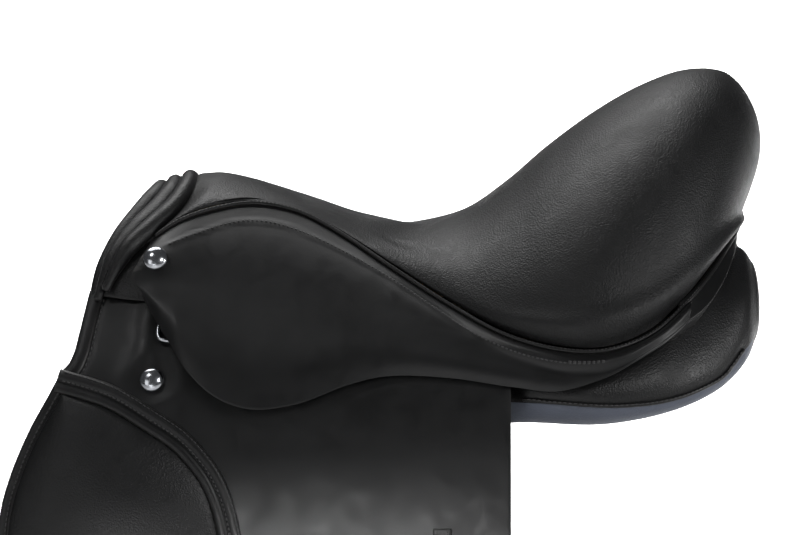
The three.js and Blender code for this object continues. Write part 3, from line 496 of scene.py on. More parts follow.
def leather(name, colour, roughness, pebble=0.0, depth=0.0, crease=0.06, coat=0.0, wear=0.35, gloss=0.5):
    """Finished leather: pebbled grain or fine pores, faint creases, uneven colour and polish, and paler
    worn edges."""
    mat, tree, shader, coords, node = material(name)
    shader.inputs["Specular IOR Level"].default_value = gloss
    shader.inputs["Coat Weight"].default_value = coat
    shader.inputs["Coat Roughness"].default_value = 0.28
    shader.inputs["Sheen Weight"].default_value = 0.04
    shader.inputs["Sheen Roughness"].default_value = 0.4
    cloud = node("TexNoise", {"Vector": coords, "Scale": 14.0, "Detail": 3.0}).outputs["Fac"]
    pores = node("TexNoise", {"Vector": coords, "Scale": 1500.0, "Detail": 2.0}).outputs["Fac"]
    folds = node("TexNoise", {"Vector": coords, "Scale": 70.0, "Detail": 4.0,
                              "Distortion": 0.6}).outputs["Fac"]
    edges = node("NewGeometry").outputs["Pointiness"]
    worn = node("MapRange", {"Value": edges, "From Min": 0.53, "From Max": 0.62, "To Min": 0.0,
                             "To Max": wear})
    tint = ramp(node, cloud, [(0.3, [c * 0.75 for c in colour]), (0.7, [c * 1.25 for c in colour])])
    mix = node("Mix", {"Factor": worn.outputs["Result"], "A": tint}, data_type="RGBA")
    mix.inputs["B"].default_value = (0.11, 0.105, 0.10, 1)
    tree.links.new(mix.outputs["Result"], shader.inputs["Base Color"])
    polish = node("MapRange", {"Value": folds, "From Min": 0.3, "From Max": 0.7,
                               "To Min": roughness - 0.05, "To Max": roughness + 0.06})
    height = node("Bump", {"Height": folds, "Strength": crease, "Distance": 0.004})
    last = node("Bump", {"Height": pores, "Strength": 0.12, "Distance": 0.0003,
                         "Normal": height.outputs["Normal"]})
    finish = polish.outputs["Result"]
    if pebble:
        bend = node("TexNoise", {"Vector": coords, "Scale": 260.0, "Detail": 2.0}).outputs["Color"]
        warp = node("Mix", {"Factor": 0.0022, "A": coords, "B": bend}, data_type="VECTOR")
        grain = node("TexVoronoi", {"Vector": warp.outputs[1], "Scale": 1000.0 / pebble, "Smoothness": 0.35,
                                    "Randomness": 1.0}, feature="SMOOTH_F1")
        rise = node("MapRange", {"Value": grain.outputs["Distance"], "From Min": 0.1, "From Max": 0.75,
                                 "To Min": 1.0, "To Max": 0.0}, interpolation_type="SMOOTHSTEP")
        last = node("Bump", {"Height": rise.outputs["Result"], "Strength": 1.0, "Distance": depth * MM,
                             "Normal": last.outputs["Normal"]})
        dull = node("Math", {0: polish.outputs["Result"], 1: 0.05}, operation="ADD")
        finish = node("Mix", {"Factor": rise.outputs["Result"], "A": dull.outputs[0],
                              "B": polish.outputs["Result"]}, data_type="FLOAT").outputs["Result"]
    tree.links.new(finish, shader.inputs["Roughness"])
    tree.links.new(last.outputs["Normal"], shader.inputs["Normal"])
    return mat


def metal(name, colour, roughness, streak=0.0):
    """Bright metal with faint wipes and scratches, or brushed along X."""
    mat, tree, shader, coords, node = material(name)
    shader.inputs["Metallic"].default_value = 1.0
    shader.inputs["Base Color"].default_value = (*colour, 1)
    scale = (0.06 if streak else 1.0, 1.0, 1.0)
    stretch = node("Mapping", {"Vector": coords, "Scale": scale}).outputs["Vector"]
    marks = node("TexNoise", {"Vector": stretch, "Scale": 900.0 if streak else 160.0,
                              "Detail": 5.0}).outputs["Fac"]
    polish = node("MapRange", {"Value": marks, "From Min": 0.35, "From Max": 0.75,
                               "To Min": roughness, "To Max": roughness + 0.12})
    tree.links.new(polish.outputs["Result"], shader.inputs["Roughness"])
    bump = node("Bump", {"Height": marks, "Strength": 0.08 + 0.3 * streak, "Distance": 0.0002})
    tree.links.new(bump.outputs["Normal"], shader.inputs["Normal"])
    return mat


def woven(name, colour, pitch, roughness=0.85):
    """Webbing: over-and-under threads from two crossed waves."""
    mat, tree, shader, coords, node = material(name)
    wave = {"Vector": coords, "Scale": 1000.0 / pitch / 6.28, "Distortion": 0.4, "Detail": 1.0}
    waves = [node("TexWave", wave, bands_direction=d).outputs["Fac"] for d in ("X", "Z")]
    cross = node("Math", {0: waves[0], 1: waves[1]}, operation="MULTIPLY").outputs[0]
    tree.links.new(ramp(node, cross, [(0.0, [c * 0.6 for c in colour]), (0.8, colour)]),
                   shader.inputs["Base Color"])
    shader.inputs["Roughness"].default_value = roughness
    shader.inputs["Sheen Weight"].default_value = 0.2
    bump = node("Bump", {"Height": cross, "Strength": 0.7, "Distance": 0.0005})
    tree.links.new(bump.outputs["Normal"], shader.inputs["Normal"])
    return mat


def speckled(name, colour, scale, roughness, stretch=(1, 1, 1), depth=0.5):
    """Foam, or wood when stretched along the grain."""
    mat, tree, shader, coords, node = material(name)
    place = node("Mapping", {"Vector": coords, "Scale": stretch}).outputs["Vector"]
    noise = node("TexNoise", {"Vector": place, "Scale": scale, "Detail": 6.0,
                              "Distortion": 0.8}).outputs["Fac"]
    stops = [(0.3, [c * 0.62 for c in colour]), (0.72, [min(1, c * 1.15) for c in colour])]
    tree.links.new(ramp(node, noise, stops), shader.inputs["Base Color"])
    shader.inputs["Roughness"].default_value = roughness
    bump = node("Bump", {"Height": noise, "Strength": depth, "Distance": 0.0006})
    tree.links.new(bump.outputs["Normal"], shader.inputs["Normal"])
    return mat


BLACK = (0.0068, 0.0068, 0.0072)
smooth_hide = leather("smooth_leather", BLACK, 0.40, crease=0.04)
seat_hide = leather("seat_leather", BLACK, 0.45, pebble=1.25, depth=0.16, crease=0.02)
pad_hide = leather("pad_leather", BLACK, 0.38, pebble=1.3, depth=0.11, crease=0.02)
roll_hide = leather("roll_leather", BLACK, 0.42, pebble=1.2, depth=0.14, crease=0.03)
# The panels' underside leather: its own bluish grey, painted lighter to stand in for the light its lower
# strip catches, so partly real colour and partly painted light.
bearing_hide_with_painted_light = leather("bearing_leather_with_painted_light", (0.12, 0.135, 0.175), 0.5, pebble=1.3, depth=0.12)
lining_hide = leather("lining_leather", (0.02, 0.02, 0.021), 0.62, crease=0.09, gloss=0.35)
cut_edge = leather("cut_edge", (0.03, 0.029, 0.028), 0.5, crease=0.12, wear=0.2)
thread = leather("thread", (0.045, 0.045, 0.047), 0.42, crease=0.2, wear=0.2)
chrome = metal("chrome", (0.66, 0.68, 0.72), 0.15)
steel = metal("brushed_steel", (0.56, 0.57, 0.59), 0.26, streak=1.0)
webbing = woven("webbing", (0.62, 0.58, 0.48), 1.6)
foam = speckled("foam", (0.62, 0.53, 0.36), 900.0, 0.95)
wood = speckled("laminated_beech", (0.48, 0.32, 0.17), 60.0, 0.5, stretch=(0.25, 1.0, 6.0), depth=0.15)


# ---------------------------------------------------------------- pieces
def piece(name, shape, looks, body, nodes, slot, fill=None, refine=0):
    """A finished mesh in place of its CAD nodes: on its body when body is a name, and otherwise baked where
    it stands.
    """
    mesh, bm = mesh_of(shape, name)
    bm.to_mesh(mesh)
    bm.free()
    for mat in looks:
        mesh.materials.append(mat)
    mesh.shade_smooth()
    obj = bpy.data.objects.new(name, mesh)
    bpy.context.scene.collection.objects.link(obj)
    if refine:
        s = obj.modifiers.new("subdivision", "SUBSURF")
        s.levels = s.render_levels = refine
    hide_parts(*nodes)
    if isinstance(body, str):
        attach(obj, body)
    else:
        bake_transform(obj)
    return obj


def pair(name, shape, looks, body, nodes, slot, **more):
    """The same piece on both sides. A body or node called *_ takes the side's name."""
    for side, flip in SIDES:
        own = shape if flip == 1 else shape.flipped()
        if isinstance(body, str):
            on = body.replace("*", side)
        else:
            turn = np.array([1, flip, 1.0])
            on = (body[0].replace("*", side), body[1].replace("*", side), body[2] * turn, body[3] * turn)
        piece(f"{name}_{side}", own, looks, on, [f"{n}_{side}" for n in nodes], slot, **more)


# ---------------------------------------------------------------- seat
seat_centre, seat_edge, seat_front = map(space_curve, (SEAT_CENTRE, SEAT_EDGE, SEAT_FRONT))


def seat_section(u, v):
    top, edge = np.broadcast_arrays(seat_centre.at(u), seat_edge.at(u))
    shoulder = np.stack([top[..., 0], 0.58 * edge[..., 1], top[..., 2]], axis=-1)
    hip = [lerp(edge[..., 0], top[..., 0], 0.3), edge[..., 1], lerp(edge[..., 2], top[..., 2], 0.46)]
    hip = np.stack(hip, axis=-1)
    v = v[..., None]
    w = 1 - v
    return w**3 * top + 3 * w * w * v * shoulder + 3 * w * v * v * hip + v**3 * edge


def seat_grid(us, vs):
    u, v = np.meshgrid(us, vs, indexing="ij")
    side = np.abs(v)
    p = seat_section(u, side)
    pull = np.maximum(0, 1 - u / FRONT_REACH) ** 2
    p = p + (seat_front.at(side) - seat_section(np.zeros_like(u), side)) * pull[..., None]
    p[..., 1] *= np.where(v > 0, -1, 1)
    return p


def make_seat():
    us = np.linspace(0, 1, 101)
    even = np.linspace(-1, 1, 91)
    vs = 0.55 * even + 0.45 * np.sin(even * math.pi / 2)
    grid = seat_grid(us, vs)
    rim = smooth(np.abs(vs), 0.955, 1.0)[None, :] * np.ones((len(us), 1))
    inside = 1 - smooth(np.abs(vs), 0.7, 0.97)[None, :]
    ends = smooth(us, 0.03, 0.16) * (1 - smooth(us, 0.86, 0.98))
    grid = puffed(grid, 3.5 * inside * ends[:, None] + 0.02)
    behind = smooth(us, 0.42, 0.62) * (1 - 0.5 * smooth(us, 0.9, 1.0))
    grid = moved(grid, 4.6 * np.exp(-(((np.abs(vs) - 0.915) / 0.042) ** 2))[None, :] * behind[:, None])
    grid = moved(grid, -2.4 * rim**1.5)
    front = grid[0]
    tuck = [front + np.array([dx, 0, dz]) for dx, dz in ((-9, -13), (-7.5, -6), (-4, -2.2))]
    grid = np.concatenate([np.array(tuck), grid])
    s = plate(grid, LEATHER, bevel=0)
    piece("seat", s, [seat_hide], "saddle", ["seat_cover"], "grained_leather", fill=0.85, refine=1)


def foam_depth(v):
    return lerp(FOAM_CENTRE, FOAM_EDGE, v * v)


def seat_layer(us, vs, start, thick):
    """One layer inside the seat, start(v) below its surface."""
    grid = seat_grid(us, vs)
    depth = np.broadcast_to(start(vs)[None, :], grid.shape[:2])
    deep = np.broadcast_to(thick(vs)[None, :], grid.shape[:2])
    return plate(moved(grid, -depth), moved(grid, -depth - deep))


def make_layers():
    top = LEATHER + LAYER_GAP
    s = seat_layer(np.linspace(1 / 20, 18 / 20, 52), np.linspace(-5 / 6, 5 / 6, 41), lambda v: top + 0 * v,
                   foam_depth)
    piece("seat_foam_layer", s, [foam], "saddle", ["seat_foam"], "foam", fill=0.9)
    web_top = lambda v: top + foam_depth(v) + LAYER_GAP
    s = seat_layer(np.linspace(2 / 20, 14 / 20, 60), np.linspace(-1 / 6, 1 / 6, 9), web_top,
                   lambda v: WEB + 0 * v)
    piece("web_lengthwise_strap", s, [webbing], "saddle", ["web_lengthwise"], "webbing")
    low_top = lambda v: web_top(v) + WEB + LAYER_GAP
    s = seat_layer(np.linspace(7 / 20, 8 / 20, 9), np.linspace(-4 / 6, 4 / 6, 49), low_top,
                   lambda v: WEB + 0 * v)
    piece("web_crosswise_strap", s, [webbing], "saddle", ["web_crosswise"], "webbing")


# ---------------------------------------------------------------- pommel and cantle
def roll_rings(curves, k, ts, height, plump):
    """Oval sections for one roll, each as wide as the room between its neighbours."""
    middle = curves[k].even(ts)
    ahead = curves[k - 1].even(ts) if k else None
    behind = curves[k + 1].even(ts) if k + 1 < len(curves) else None
    first, last = (middle if ahead is None else ahead), (middle if behind is None else behind)
    along = curves[k].tangent(ts)
    toward = unit(last - first)
    toward = unit(toward - along * np.sum(toward * along, axis=-1, keepdims=True))
    out = np.cross(along, toward)
    out *= np.sign(np.sum(out * (middle - np.array([-150, 0, 30])), axis=-1, keepdims=True))
    half = [plump if other is None else np.linalg.norm(other - middle, axis=-1) / 2 + 0.55
            for other in (ahead, behind)]
    rings = []
    for i in range(len(ts)):
        front, rear = (h if np.isscalar(h) else h[i] for h in half)
        ring = [middle[i]
                + toward[i] * math.cos(a) * (rear if math.cos(a) > 0 else front) * height[i] / height.max()
                + out[i] * math.sin(a) * height[i] for a in np.linspace(0, 2 * math.pi, 24, endpoint=False)]
        rings.append(ring)
    return rings, middle, toward, out, half


def make_pommel():
    curves = [Curve(mirrored_line(line)) for _, line in ROLLS.values()]
    ts = np.linspace(0, 1, 141)
    side = np.abs(2 * ts - 1)
    for k, name in enumerate(ROLLS):
        height = lerp(5.2 + 0.5 * k, 3.1, smooth(side, 0.72, 1.0))
        rings, middle, toward, out, half = roll_rings(curves, k, ts, height, 5.2 + 0.5 * k)
        s = loft(rings, domed=2.0)
        if k < 2:
            row = middle + toward * (half[1] - 0.4)[:, None] + out * 3.0
            s.add(stitches(s, Curve(row).even(DENSE[20:-20]), out=(-0.2, 0, 1), pitch=3.0, long=2.2,
                           thick=0.42))
        piece(name + "_stuffed", s, [roll_hide, thread], "saddle", [name], "grained_leather", fill=0.9)

    rails = [Curve(mirrored_line(half)) for half in (ARCH_OUTER, ARCH_INNER)]
    ts = np.linspace(0, 1, 97)
    grid = np.stack([lerp(rails[0].even(ts), rails[1].even(ts), s) for s in np.linspace(0, 1, 13)], axis=1)
    s = plate(grid, LEATHER, edge=1)
    row = lerp(rails[0].even(ts), rails[1].even(ts), 0.86)
    s.add(stitches(s, row, out=(-1, 0, 0), look=2))
    piece("pommel_arch_facing", s, [smooth_hide, cut_edge, thread], "saddle", ["pommel_facing"],
          "smooth_leather")

    rails = [space_curve(rail) for rail in HEAD_SIDE]
    ts = np.linspace(0, 1, 25)
    rows = np.array([rail.at(ts) for rail in rails])
    rows[0] += np.array([2, 3, 3])
    rows[2] += np.array([0, -0.6, -2.6])
    columns = [Curve(rows[:, k]).at(np.linspace(0, 1, 25)) for k in range(25)]
    s = plate(np.array(columns), LEATHER)
    pair("pommel_head_side", s, [pad_hide], "saddle", ["pommel_side"], "grained_leather")


def facing_hem(low, panel):
    """Rows that turn in from the facing's lower edge and end inside the panels, so no light comes
    through."""
    left = np.stack([low[:, 0], -np.abs(low[:, 1]), low[:, 2]], axis=1)
    foot = nearest_on(panel, left) + np.array([-3, 3, -4])
    near = smooth(np.abs(low[:, 1]), 34, 48)[:, None]
    foot = lerp(left + np.array([-4, 0, -3]), foot, near)
    foot[:, 1] = np.where(low[:, 1] > 0, -foot[:, 1], foot[:, 1])
    return np.stack([lerp(low, foot, e) for e in (0.35, 0.7, 1.0)], axis=1)


def make_cantle(panel):
    whole = [np.vstack([np.asarray(h, float) * LEFT, np.asarray(h, float)[-2::-1]])
             for h in (FACING_TOP, FACING_LOW)]
    rails = [Curve(w) for w in whole]
    ts = np.linspace(0, 1, 121)
    grid = np.stack([lerp(rails[0].at(ts), rails[1].at(ts), s) for s in np.linspace(0, 1, 13)], axis=1)
    bulge = np.sin(np.linspace(0, math.pi, 13))[None, :] * np.ones((121, 1))
    inner, outer = moved(grid, 0 * bulge), moved(grid, LEATHER + 3.2 * bulge)
    outer = np.concatenate([outer, facing_hem(outer[:, -1], panel)], axis=1)
    inner = np.concatenate([inner, outer[:, 13:] + np.array([-LEATHER, 0, -0.4])], axis=1)
    s = plate(outer, inner, edge=1)
    s.add(stitches(s, moved(grid, 2.4 + 0 * bulge)[:, 11], out=(1, 0, 0), look=2))
    piece("cantle_band", s, [smooth_hide, cut_edge, thread], "saddle", ["cantle_facing"], "smooth_leather")


# ---------------------------------------------------------------- flaps
def flap_half_width(x, z):
    ahead = FLAP_REAR_X - x
    h = z - (FOLD_AT_ORIGIN_Z + FOLD_SLOPE * x)
    twist = np.where(h > 0, h, 0.14 * h + 34.4 * (np.exp(np.minimum(h, 0) / 40) - 1))
    return 173 - 0.2057 * ahead - 0.085 * h - 0.0033 * np.maximum(0, h) ** 2 - 0.00146 * twist * ahead


def on_flap(x, z, out=0.0):
    return np.stack([x, -(flap_half_width(x, z) + out), z], axis=-1)


def fold_z(x):
    return FOLD_AT_ORIGIN_Z + FOLD_SLOPE * x


def patch(left, right, top, bottom, ss, ts):
    """A Coons patch between four flat outlines."""
    s, t = ss[:, None, None], ts[None, :, None]
    l, r, a, b = left.at(ss)[:, None], right.at(ss)[:, None], top.at(ts)[None], bottom.at(ts)[None]
    corners = ((1 - s) * (1 - t) * top.at(0.0) + (1 - s) * t * top.at(1.0)
               + s * (1 - t) * bottom.at(0.0) + s * t * bottom.at(1.0))
    return (1 - t) * l + t * r + (1 - s) * a + s * b - corners


def straight(a, b):
    a, b = np.asarray(a, float), np.asarray(b, float)
    return Curve([a, (a + b) / 2, b])


def beside(curve, t, distance):
    """A flat curve's neighbour: upwards or rearwards for a positive distance, on a curve that runs
    rearwards or down."""
    along = curve.tangent(t)
    square = np.stack([-along[..., 1], along[..., 0]], axis=-1)
    return curve.even(t) + square * np.asarray(distance)[..., None]


def flap_strip(curve, ts, section):
    """A strip sewn along a curve on the flap. section is [distance beside the curve, height off the flap]
    points."""
    rings = []
    for t in ts:
        flat = [beside(curve, t, d) for d, _ in section]
        rings.append([on_flap(p[0], p[1], h) for p, (_, h) in zip(flat, section)])
    return loft(rings, domed=0.6)


FLAP_FOLD = straight([FOLD_FRONT_X, fold_z(FOLD_FRONT_X)], [FLAP_REAR_X, fold_z(FLAP_REAR_X)])


def binding(wide):
    """The section of leather folded over an edge, from inside the flap's face round its edge."""
    return [[-0.9, -3.2], [-0.9, 0.1], [-0.1, 1.0], [0.4 * wide, 1.35], [wide - 1.2, 1.0], [wide, 0.3],
            [wide, -0.8], [0.8, -0.8], [0.8, -3.2]]


NECK_BINDING, EDGE_BINDING = binding(8.6), binding(5.2)


def fold_zone(a, b, downwards, above, below):
    """The two points between which a leaf bends: above and below its fold line, square to it."""
    a, b = np.asarray(a, float), np.asarray(b, float)
    axis = unit(b - a)
    down = np.asarray(downwards, float)
    down = unit(down - axis * np.dot(down, axis))
    middle = (a + b) / 2
    return middle - down * above, middle + down * below


def make_flap():
    columns = np.linspace(0, 1, 111)
    neck = patch(Curve(NECK_FRONT), straight([FLAP_REAR_X, -12], FLAP_FOLD.at(1.0)), Curve(NECK_TOP),
                 FLAP_FOLD, np.linspace(0, 1, 19)[:-1], columns)
    front = Curve([FLAP_FOLD.at(0.0), *FLAP_FRONT[1:]])
    rear = Curve([FLAP_FOLD.at(1.0), *FLAP_REAR[1:]])
    rows = np.concatenate([[0, 0.008], np.linspace(0.02, 1, 84)])
    lower = patch(front, rear, FLAP_FOLD, Curve(FLAP_BOTTOM), rows, columns)
    flat = np.concatenate([neck, lower])
    x, z = flat[..., 0], flat[..., 1]
    grid = on_flap(x, z)
    nail = on_flap(*map(np.array, FLAP_NAIL))
    away = np.linalg.norm(grid - nail, axis=-1)
    ridge = 1.7 * np.exp(-(((x + 172 - 0.1 * z) / 7) ** 2)) * smooth(z, -30, -5)
    grid = moved(grid, ridge)
    pucker = 1.5 * np.exp(-((away / 12) ** 2)) - 0.9 * np.exp(-(((away - 19) / 6) ** 2)) * (z > -60)
    grid = moved(grid, -pucker)
    neck_front = Curve(NECK_FRONT)
    row = beside(neck_front, DENSE, 9.8)
    neck_row = on_flap(row[:, 0], row[:, 1])
    grid = pressed(grid, neck_row, 1.4, 0.5)
    inner = grid + np.array([0, FLAP, 0])
    s = plate(grid, inner, edge=1)
    bound = flap_strip(neck_front, np.linspace(0.0, 1, 60), NECK_BINDING)
    s.add(bound)
    knee_front = Curve([NECK_FRONT[-1], *FLAP_FRONT[1:]])
    edge = flap_strip(knee_front, np.linspace(0.0, 0.995, 120), EDGE_BINDING)
    s.add(edge)
    s.add(stitches(s, neck_row[30:-30], look=2, pitch=4.0, long=2.7, thick=0.62, sunk=0.5))
    row = beside(knee_front, DENSE[20:-10], 4.2)
    s.add(stitches(edge, on_flap(row[:, 0], row[:, 1], 1.2), look=2, pitch=3.6, thick=0.5))
    axis_ends = on_flap(*FLAP_FOLD.at(0.0)), on_flap(*FLAP_FOLD.at(1.0))
    start, end = fold_zone(*axis_ends, (0, -0.3, -1), 2.5, 3.5)
    pair("flap_leaf", s, [smooth_hide, cut_edge, thread], ("saddle", "flap_*", start, end),
         ["flap_top", "flap"], "smooth_leather")


KNEE_LINE = Curve(KNEE_WELT)
KNEE_SECTION = [
    [3.9, 0.2], [3.9, 1.7], [3.3, 2.7], [1.8, 3.3], [-0.2, 3.3], [-2.2, 2.8], [-3.4, 1.9], [-3.9, 1.2],
    [-4.4, 1.9], [-5.4, 2.8], [-7.2, 3.3], [-9.0, 3.2], [-10.4, 2.6], [-11.2, 1.4], [-11.2, 0.2],
]


def make_knee():
    s = flap_strip(KNEE_LINE, np.linspace(0.0, 1, 150), KNEE_SECTION)
    row = beside(KNEE_LINE, DENSE[6:-6], -2.9)
    s.add(stitches(s, on_flap(row[:, 0], row[:, 1], 2.6), thick=0.55))
    row = beside(KNEE_LINE, DENSE[6:-6], 3.0)
    s.add(stitches(s, on_flap(row[:, 0], row[:, 1], 3.0), thick=0.38))
    pair("knee_welt_band", s, [smooth_hide, thread], "flap_*", ["knee_welt"], "smooth_leather")

    rows, cols = 96, 45
    front_line, ss, ts = Curve(FLAP_FRONT), np.linspace(0, 1, rows), np.linspace(0, 1, cols)
    front = beside(front_line, lerp(0.03, 0.985, ss), 0 * ss + 6.2)
    rear = beside(KNEE_LINE, lerp(0.01, 0.985, ss), 0 * ss - 11.1)
    rear[0] = lerp(rear[0], front[0], 0.06)
    flat = lerp(front[:, None], rear[:, None], ts[None, :, None])
    rise = np.sin(math.pi * ss[:, None]) ** 0.6 * np.sin(math.pi * ts[None, :]) ** 0.8
    out = 0.9 + (KNEE_RISE - 0.5) * rise
    grid = on_flap(flat[..., 0], flat[..., 1], out)
    swell = smooth(rise, 0.02, 0.7)
    grid = puffed(grid, 4.0 * swell + 0.02)
    back = on_flap(flat[..., 0], flat[..., 1], np.full(rise.shape, 0.3))
    s = plate(grid, back, bevel=0)
    pair("knee_pad_stuffed", s, [pad_hide], "flap_*", ["knee_pad"], "grained_leather", fill=0.8, refine=1)


def flap_frame(x, z, aim, lift):
    """A square frame on the flap's face: x along aim, y out of the saddle."""
    x, z = float(x), float(z)
    here = on_flap(x, z)
    along = unit(on_flap(x + aim[0], z + aim[1]) - here)
    out = unit(np.cross(on_flap(x + 1, z) - here, on_flap(x, z + 1) - here))
    third = np.cross(along, out)
    m = Matrix.Identity(4)
    for k, axis in enumerate((along, out, third)):
        for r in range(3):
            m[r][k] = axis[r]
    m.translation = here + out * lift
    return m


def make_keeper():
    long, wide, thick, room, foot = (KEEPER[k] for k in ("long", "wide", "thick", "room", "foot"))
    step = long / 2 - foot
    rise = [[-long / 2, 0.6], [-step - 5, 0.7], [-step - 1, 2.0], [-step + 2, room - 1],
            [-step + 6, room + 0.6]]
    line = Curve([*rise, [0, room + 1.0], *([-x, z] for x, z in rise[::-1])])
    ts = np.linspace(0, 1, 61)
    mid = line.even(ts)
    turn = line.tangent(ts)
    side = np.stack([-turn[:, 1], turn[:, 0]], axis=-1)
    top, low = mid + side * thick * 0.5, mid - side * thick * 0.5
    widths = np.linspace(-wide / 2, wide / 2, 7)
    outer = np.array([[[p[0], p[1], w] for w in widths] for p in top])
    inner = np.array([[[p[0], p[1], w] for w in widths] for p in low])
    s = plate(outer, inner, edge=1, bevel=0.5)
    for end in (-1, 1):
        for w in (-3.6, 3.6):
            row = [[end * (long / 2 - 1), 2.0, w], [end * (long / 2 - foot + 4.5), 2.2, w]]
            s.add(stitches(s, row, out=(0, 1, 0), pitch=2.2, long=1.7, thick=0.35, look=2))
    s.placed(flap_frame(KEEPER["x"], KEEPER["z"], [0, -1], STANDOFF))
    pair("keeper_loop", s, [smooth_hide, cut_edge, thread], "flap_*", ["keeper"], "smooth_leather")


def make_sweat_flap():
    flat = patch(Curve(SWEAT_FRONT), straight([60, -14], [60, -296]), Curve(SWEAT_TOP), Curve(SWEAT_BOTTOM),
                 np.linspace(0, 1, 81), np.linspace(0, 1, 61))
    grid = on_flap(flat[..., 0], flat[..., 1], -FLAP - GIRTH_SPACE)
    s = plate(grid, grid + np.array([0, 2.6, 0]), edge=1)
    for row in (grid[2:-3, 2], grid[-3, 2:-3], grid[2:-3, -3]):
        s.add(stitches(s, row, look=2))
    pair("sweat_flap_leaf", s, [lining_hide, cut_edge, thread], "saddle", ["sweat_flap"], "lining")


# ---------------------------------------------------------------- skirts
def skirt_fold(share):
    return lerp(SKIRT_FOLD[0], SKIRT_FOLD[1], np.asarray(share)[..., None]) * LEFT


def skirt_low(x, fold):
    """The lower edge below a point of the fold, clear of the flap it hangs over."""
    dense = Curve(SKIRT_LOW).at(np.linspace(0, 1, 3000))
    z = np.interp(x, dense[:, 0], dense[:, 1])
    gap = lerp(11, 1.5, smooth(x, -130, 40))
    on_x = np.minimum(x, 90)
    over = flap_half_width(on_x, z) + gap + LEATHER + 0.02 * (x - on_x)
    return np.stack([x, -np.maximum(over, 0.35 * (fold[:, 2] - z) - fold[:, 1]), z], axis=-1)


def make_skirt():
    cols, up_rows, low_rows = 141, 30, 34
    t = np.linspace(0, 1, cols)
    past = np.clip((t - 1 + TAIL_SHARE) / TAIL_SHARE, 0, 1)
    upper = seat_edge.at(lerp(0.01, 0.76, t)) + np.array([0, -2.7, -3.1])
    fold = skirt_fold(np.clip(t / (1 - TAIL_SHARE), 0, 1))
    low = skirt_low(fold[:, 0], fold)
    rim = fold[past > 0][0] - low[past > 0][0]
    tail = space_curve(SKIRT_TAIL).at(past)
    low = np.where((past > 0)[:, None], tail, low)
    fold = np.where((past > 0)[:, None], tail + rim * lerp(1, 0.5, smooth(past, 0, 0.4))[:, None], fold)
    s = np.linspace(0, 1, up_rows)
    swell = np.sin(math.pi * s)[None, :, None]
    above = lerp(upper[:, None], fold[:, None], s[None, :, None]) + swell * np.array([0, -4, 2])
    k = np.linspace(0, 1, low_rows)[1:]
    belly = 5 * np.minimum(1, (fold[:, 2] - low[:, 2]) / 40)
    below = lerp(fold[:, None], low[:, None], k[None, :, None])
    below[..., 1] -= belly[:, None] * np.sin(math.pi * k)[None, :]
    grid = np.concatenate([above, below], axis=1)
    # The leather runs over the fold without a crease.
    ease = np.exp(-(((np.arange(1, up_rows + low_rows - 2) - up_rows + 1) / 5.0) ** 2))[None, :, None]
    for _ in range(SMOOTHING_PASSES):
        grid[:, 1:-1] += 0.5 * ease * ((grid[:, :-2] + grid[:, 2:]) / 2 - grid[:, 1:-1])
    turn = np.exp(-(((t[1:-1] - 1 + TAIL_SHARE) / 0.035) ** 2))[:, None]
    turn = turn * smooth(np.arange(up_rows + low_rows - 1), 8, 22)
    for _ in range(SMOOTHING_PASSES):
        grid[1:-1] += 0.5 * turn[..., None] * ((grid[:-2] + grid[2:]) / 2 - grid[1:-1])
    # The nose in front of the nail, and the leather drawn in round it.
    level = np.concatenate([s - 1, k])
    nose = np.clip(1 - t / 0.07, 0, 1)[:, None] ** 2 * np.exp(-((level / 0.55) ** 2))[None, :]
    grid[..., 0] -= 6.5 * nose
    out_way = normals(grid)
    away = np.linalg.norm(grid - NAIL_SPOT, axis=-1)
    grid = grid - out_way * (1.2 * np.exp(-((away / 11) ** 2)))[..., None]
    row = space_curve(SKIRT_STITCHES).even(DENSE)
    row = Curve(nearest_on(grid, row[::20])).even(DENSE)
    grid = pressed(grid, row, 1.5, 0.55)
    shape = plate(grid, grid + np.array([0, LEATHER, 0]), edge=1, bevel=0.75)
    shape.add(stitches(shape, row, look=2, pitch=3.1, long=2.3, sunk=0.35))
    end = row[-60:]
    shape.add(stitches(shape, end + np.array([0, 0, 0.8]), look=2, pitch=3.1, long=2.6, thick=0.62,
                       sunk=0.1))
    a, b = SKIRT_FOLD[0] * LEFT, SKIRT_FOLD[1] * LEFT
    start, stop = fold_zone(a, b, (0, -0.45, -1), 3, 9)
    pair("skirt_leaf", shape, [smooth_hide, cut_edge, thread], ("saddle", "skirt_*", start, stop),
         ["skirt_top", "skirt"], "smooth_leather")


def make_nails():
    profile = [[0.2, 0.2], [NAIL_RADIUS - 1.1, 0], [NAIL_RADIUS - 0.3, 0.25], [NAIL_RADIUS, 0.9],
               [NAIL_RADIUS - 0.15, 1.5]]
    dome = [[(NAIL_RADIUS - 0.2) * math.cos(a), 1.6 + 3.8 * math.sin(a) ** 1.15]
            for a in np.linspace(0.12, math.pi / 2 - 0.03, 14)]
    around = np.linspace(0, 2 * math.pi, 48, endpoint=False)
    rings = [[[r * math.cos(a), h, r * math.sin(a)] for a in around] for r, h in profile + dome]
    turn = Vector((0, 1, 0)).rotation_difference(Vector((-0.1, -1, 0.55)).normalized()).to_matrix().to_4x4()
    turn.translation = NAIL_SPOT
    for name, place in (("skirt_nail", turn), ("flap_nail", flap_frame(*FLAP_NAIL, [1, 0], 0.0))):
        s = loft(rings).placed(place)
        pair(name + "_dome", s, [chrome], "saddle", [name], "bright_metal")


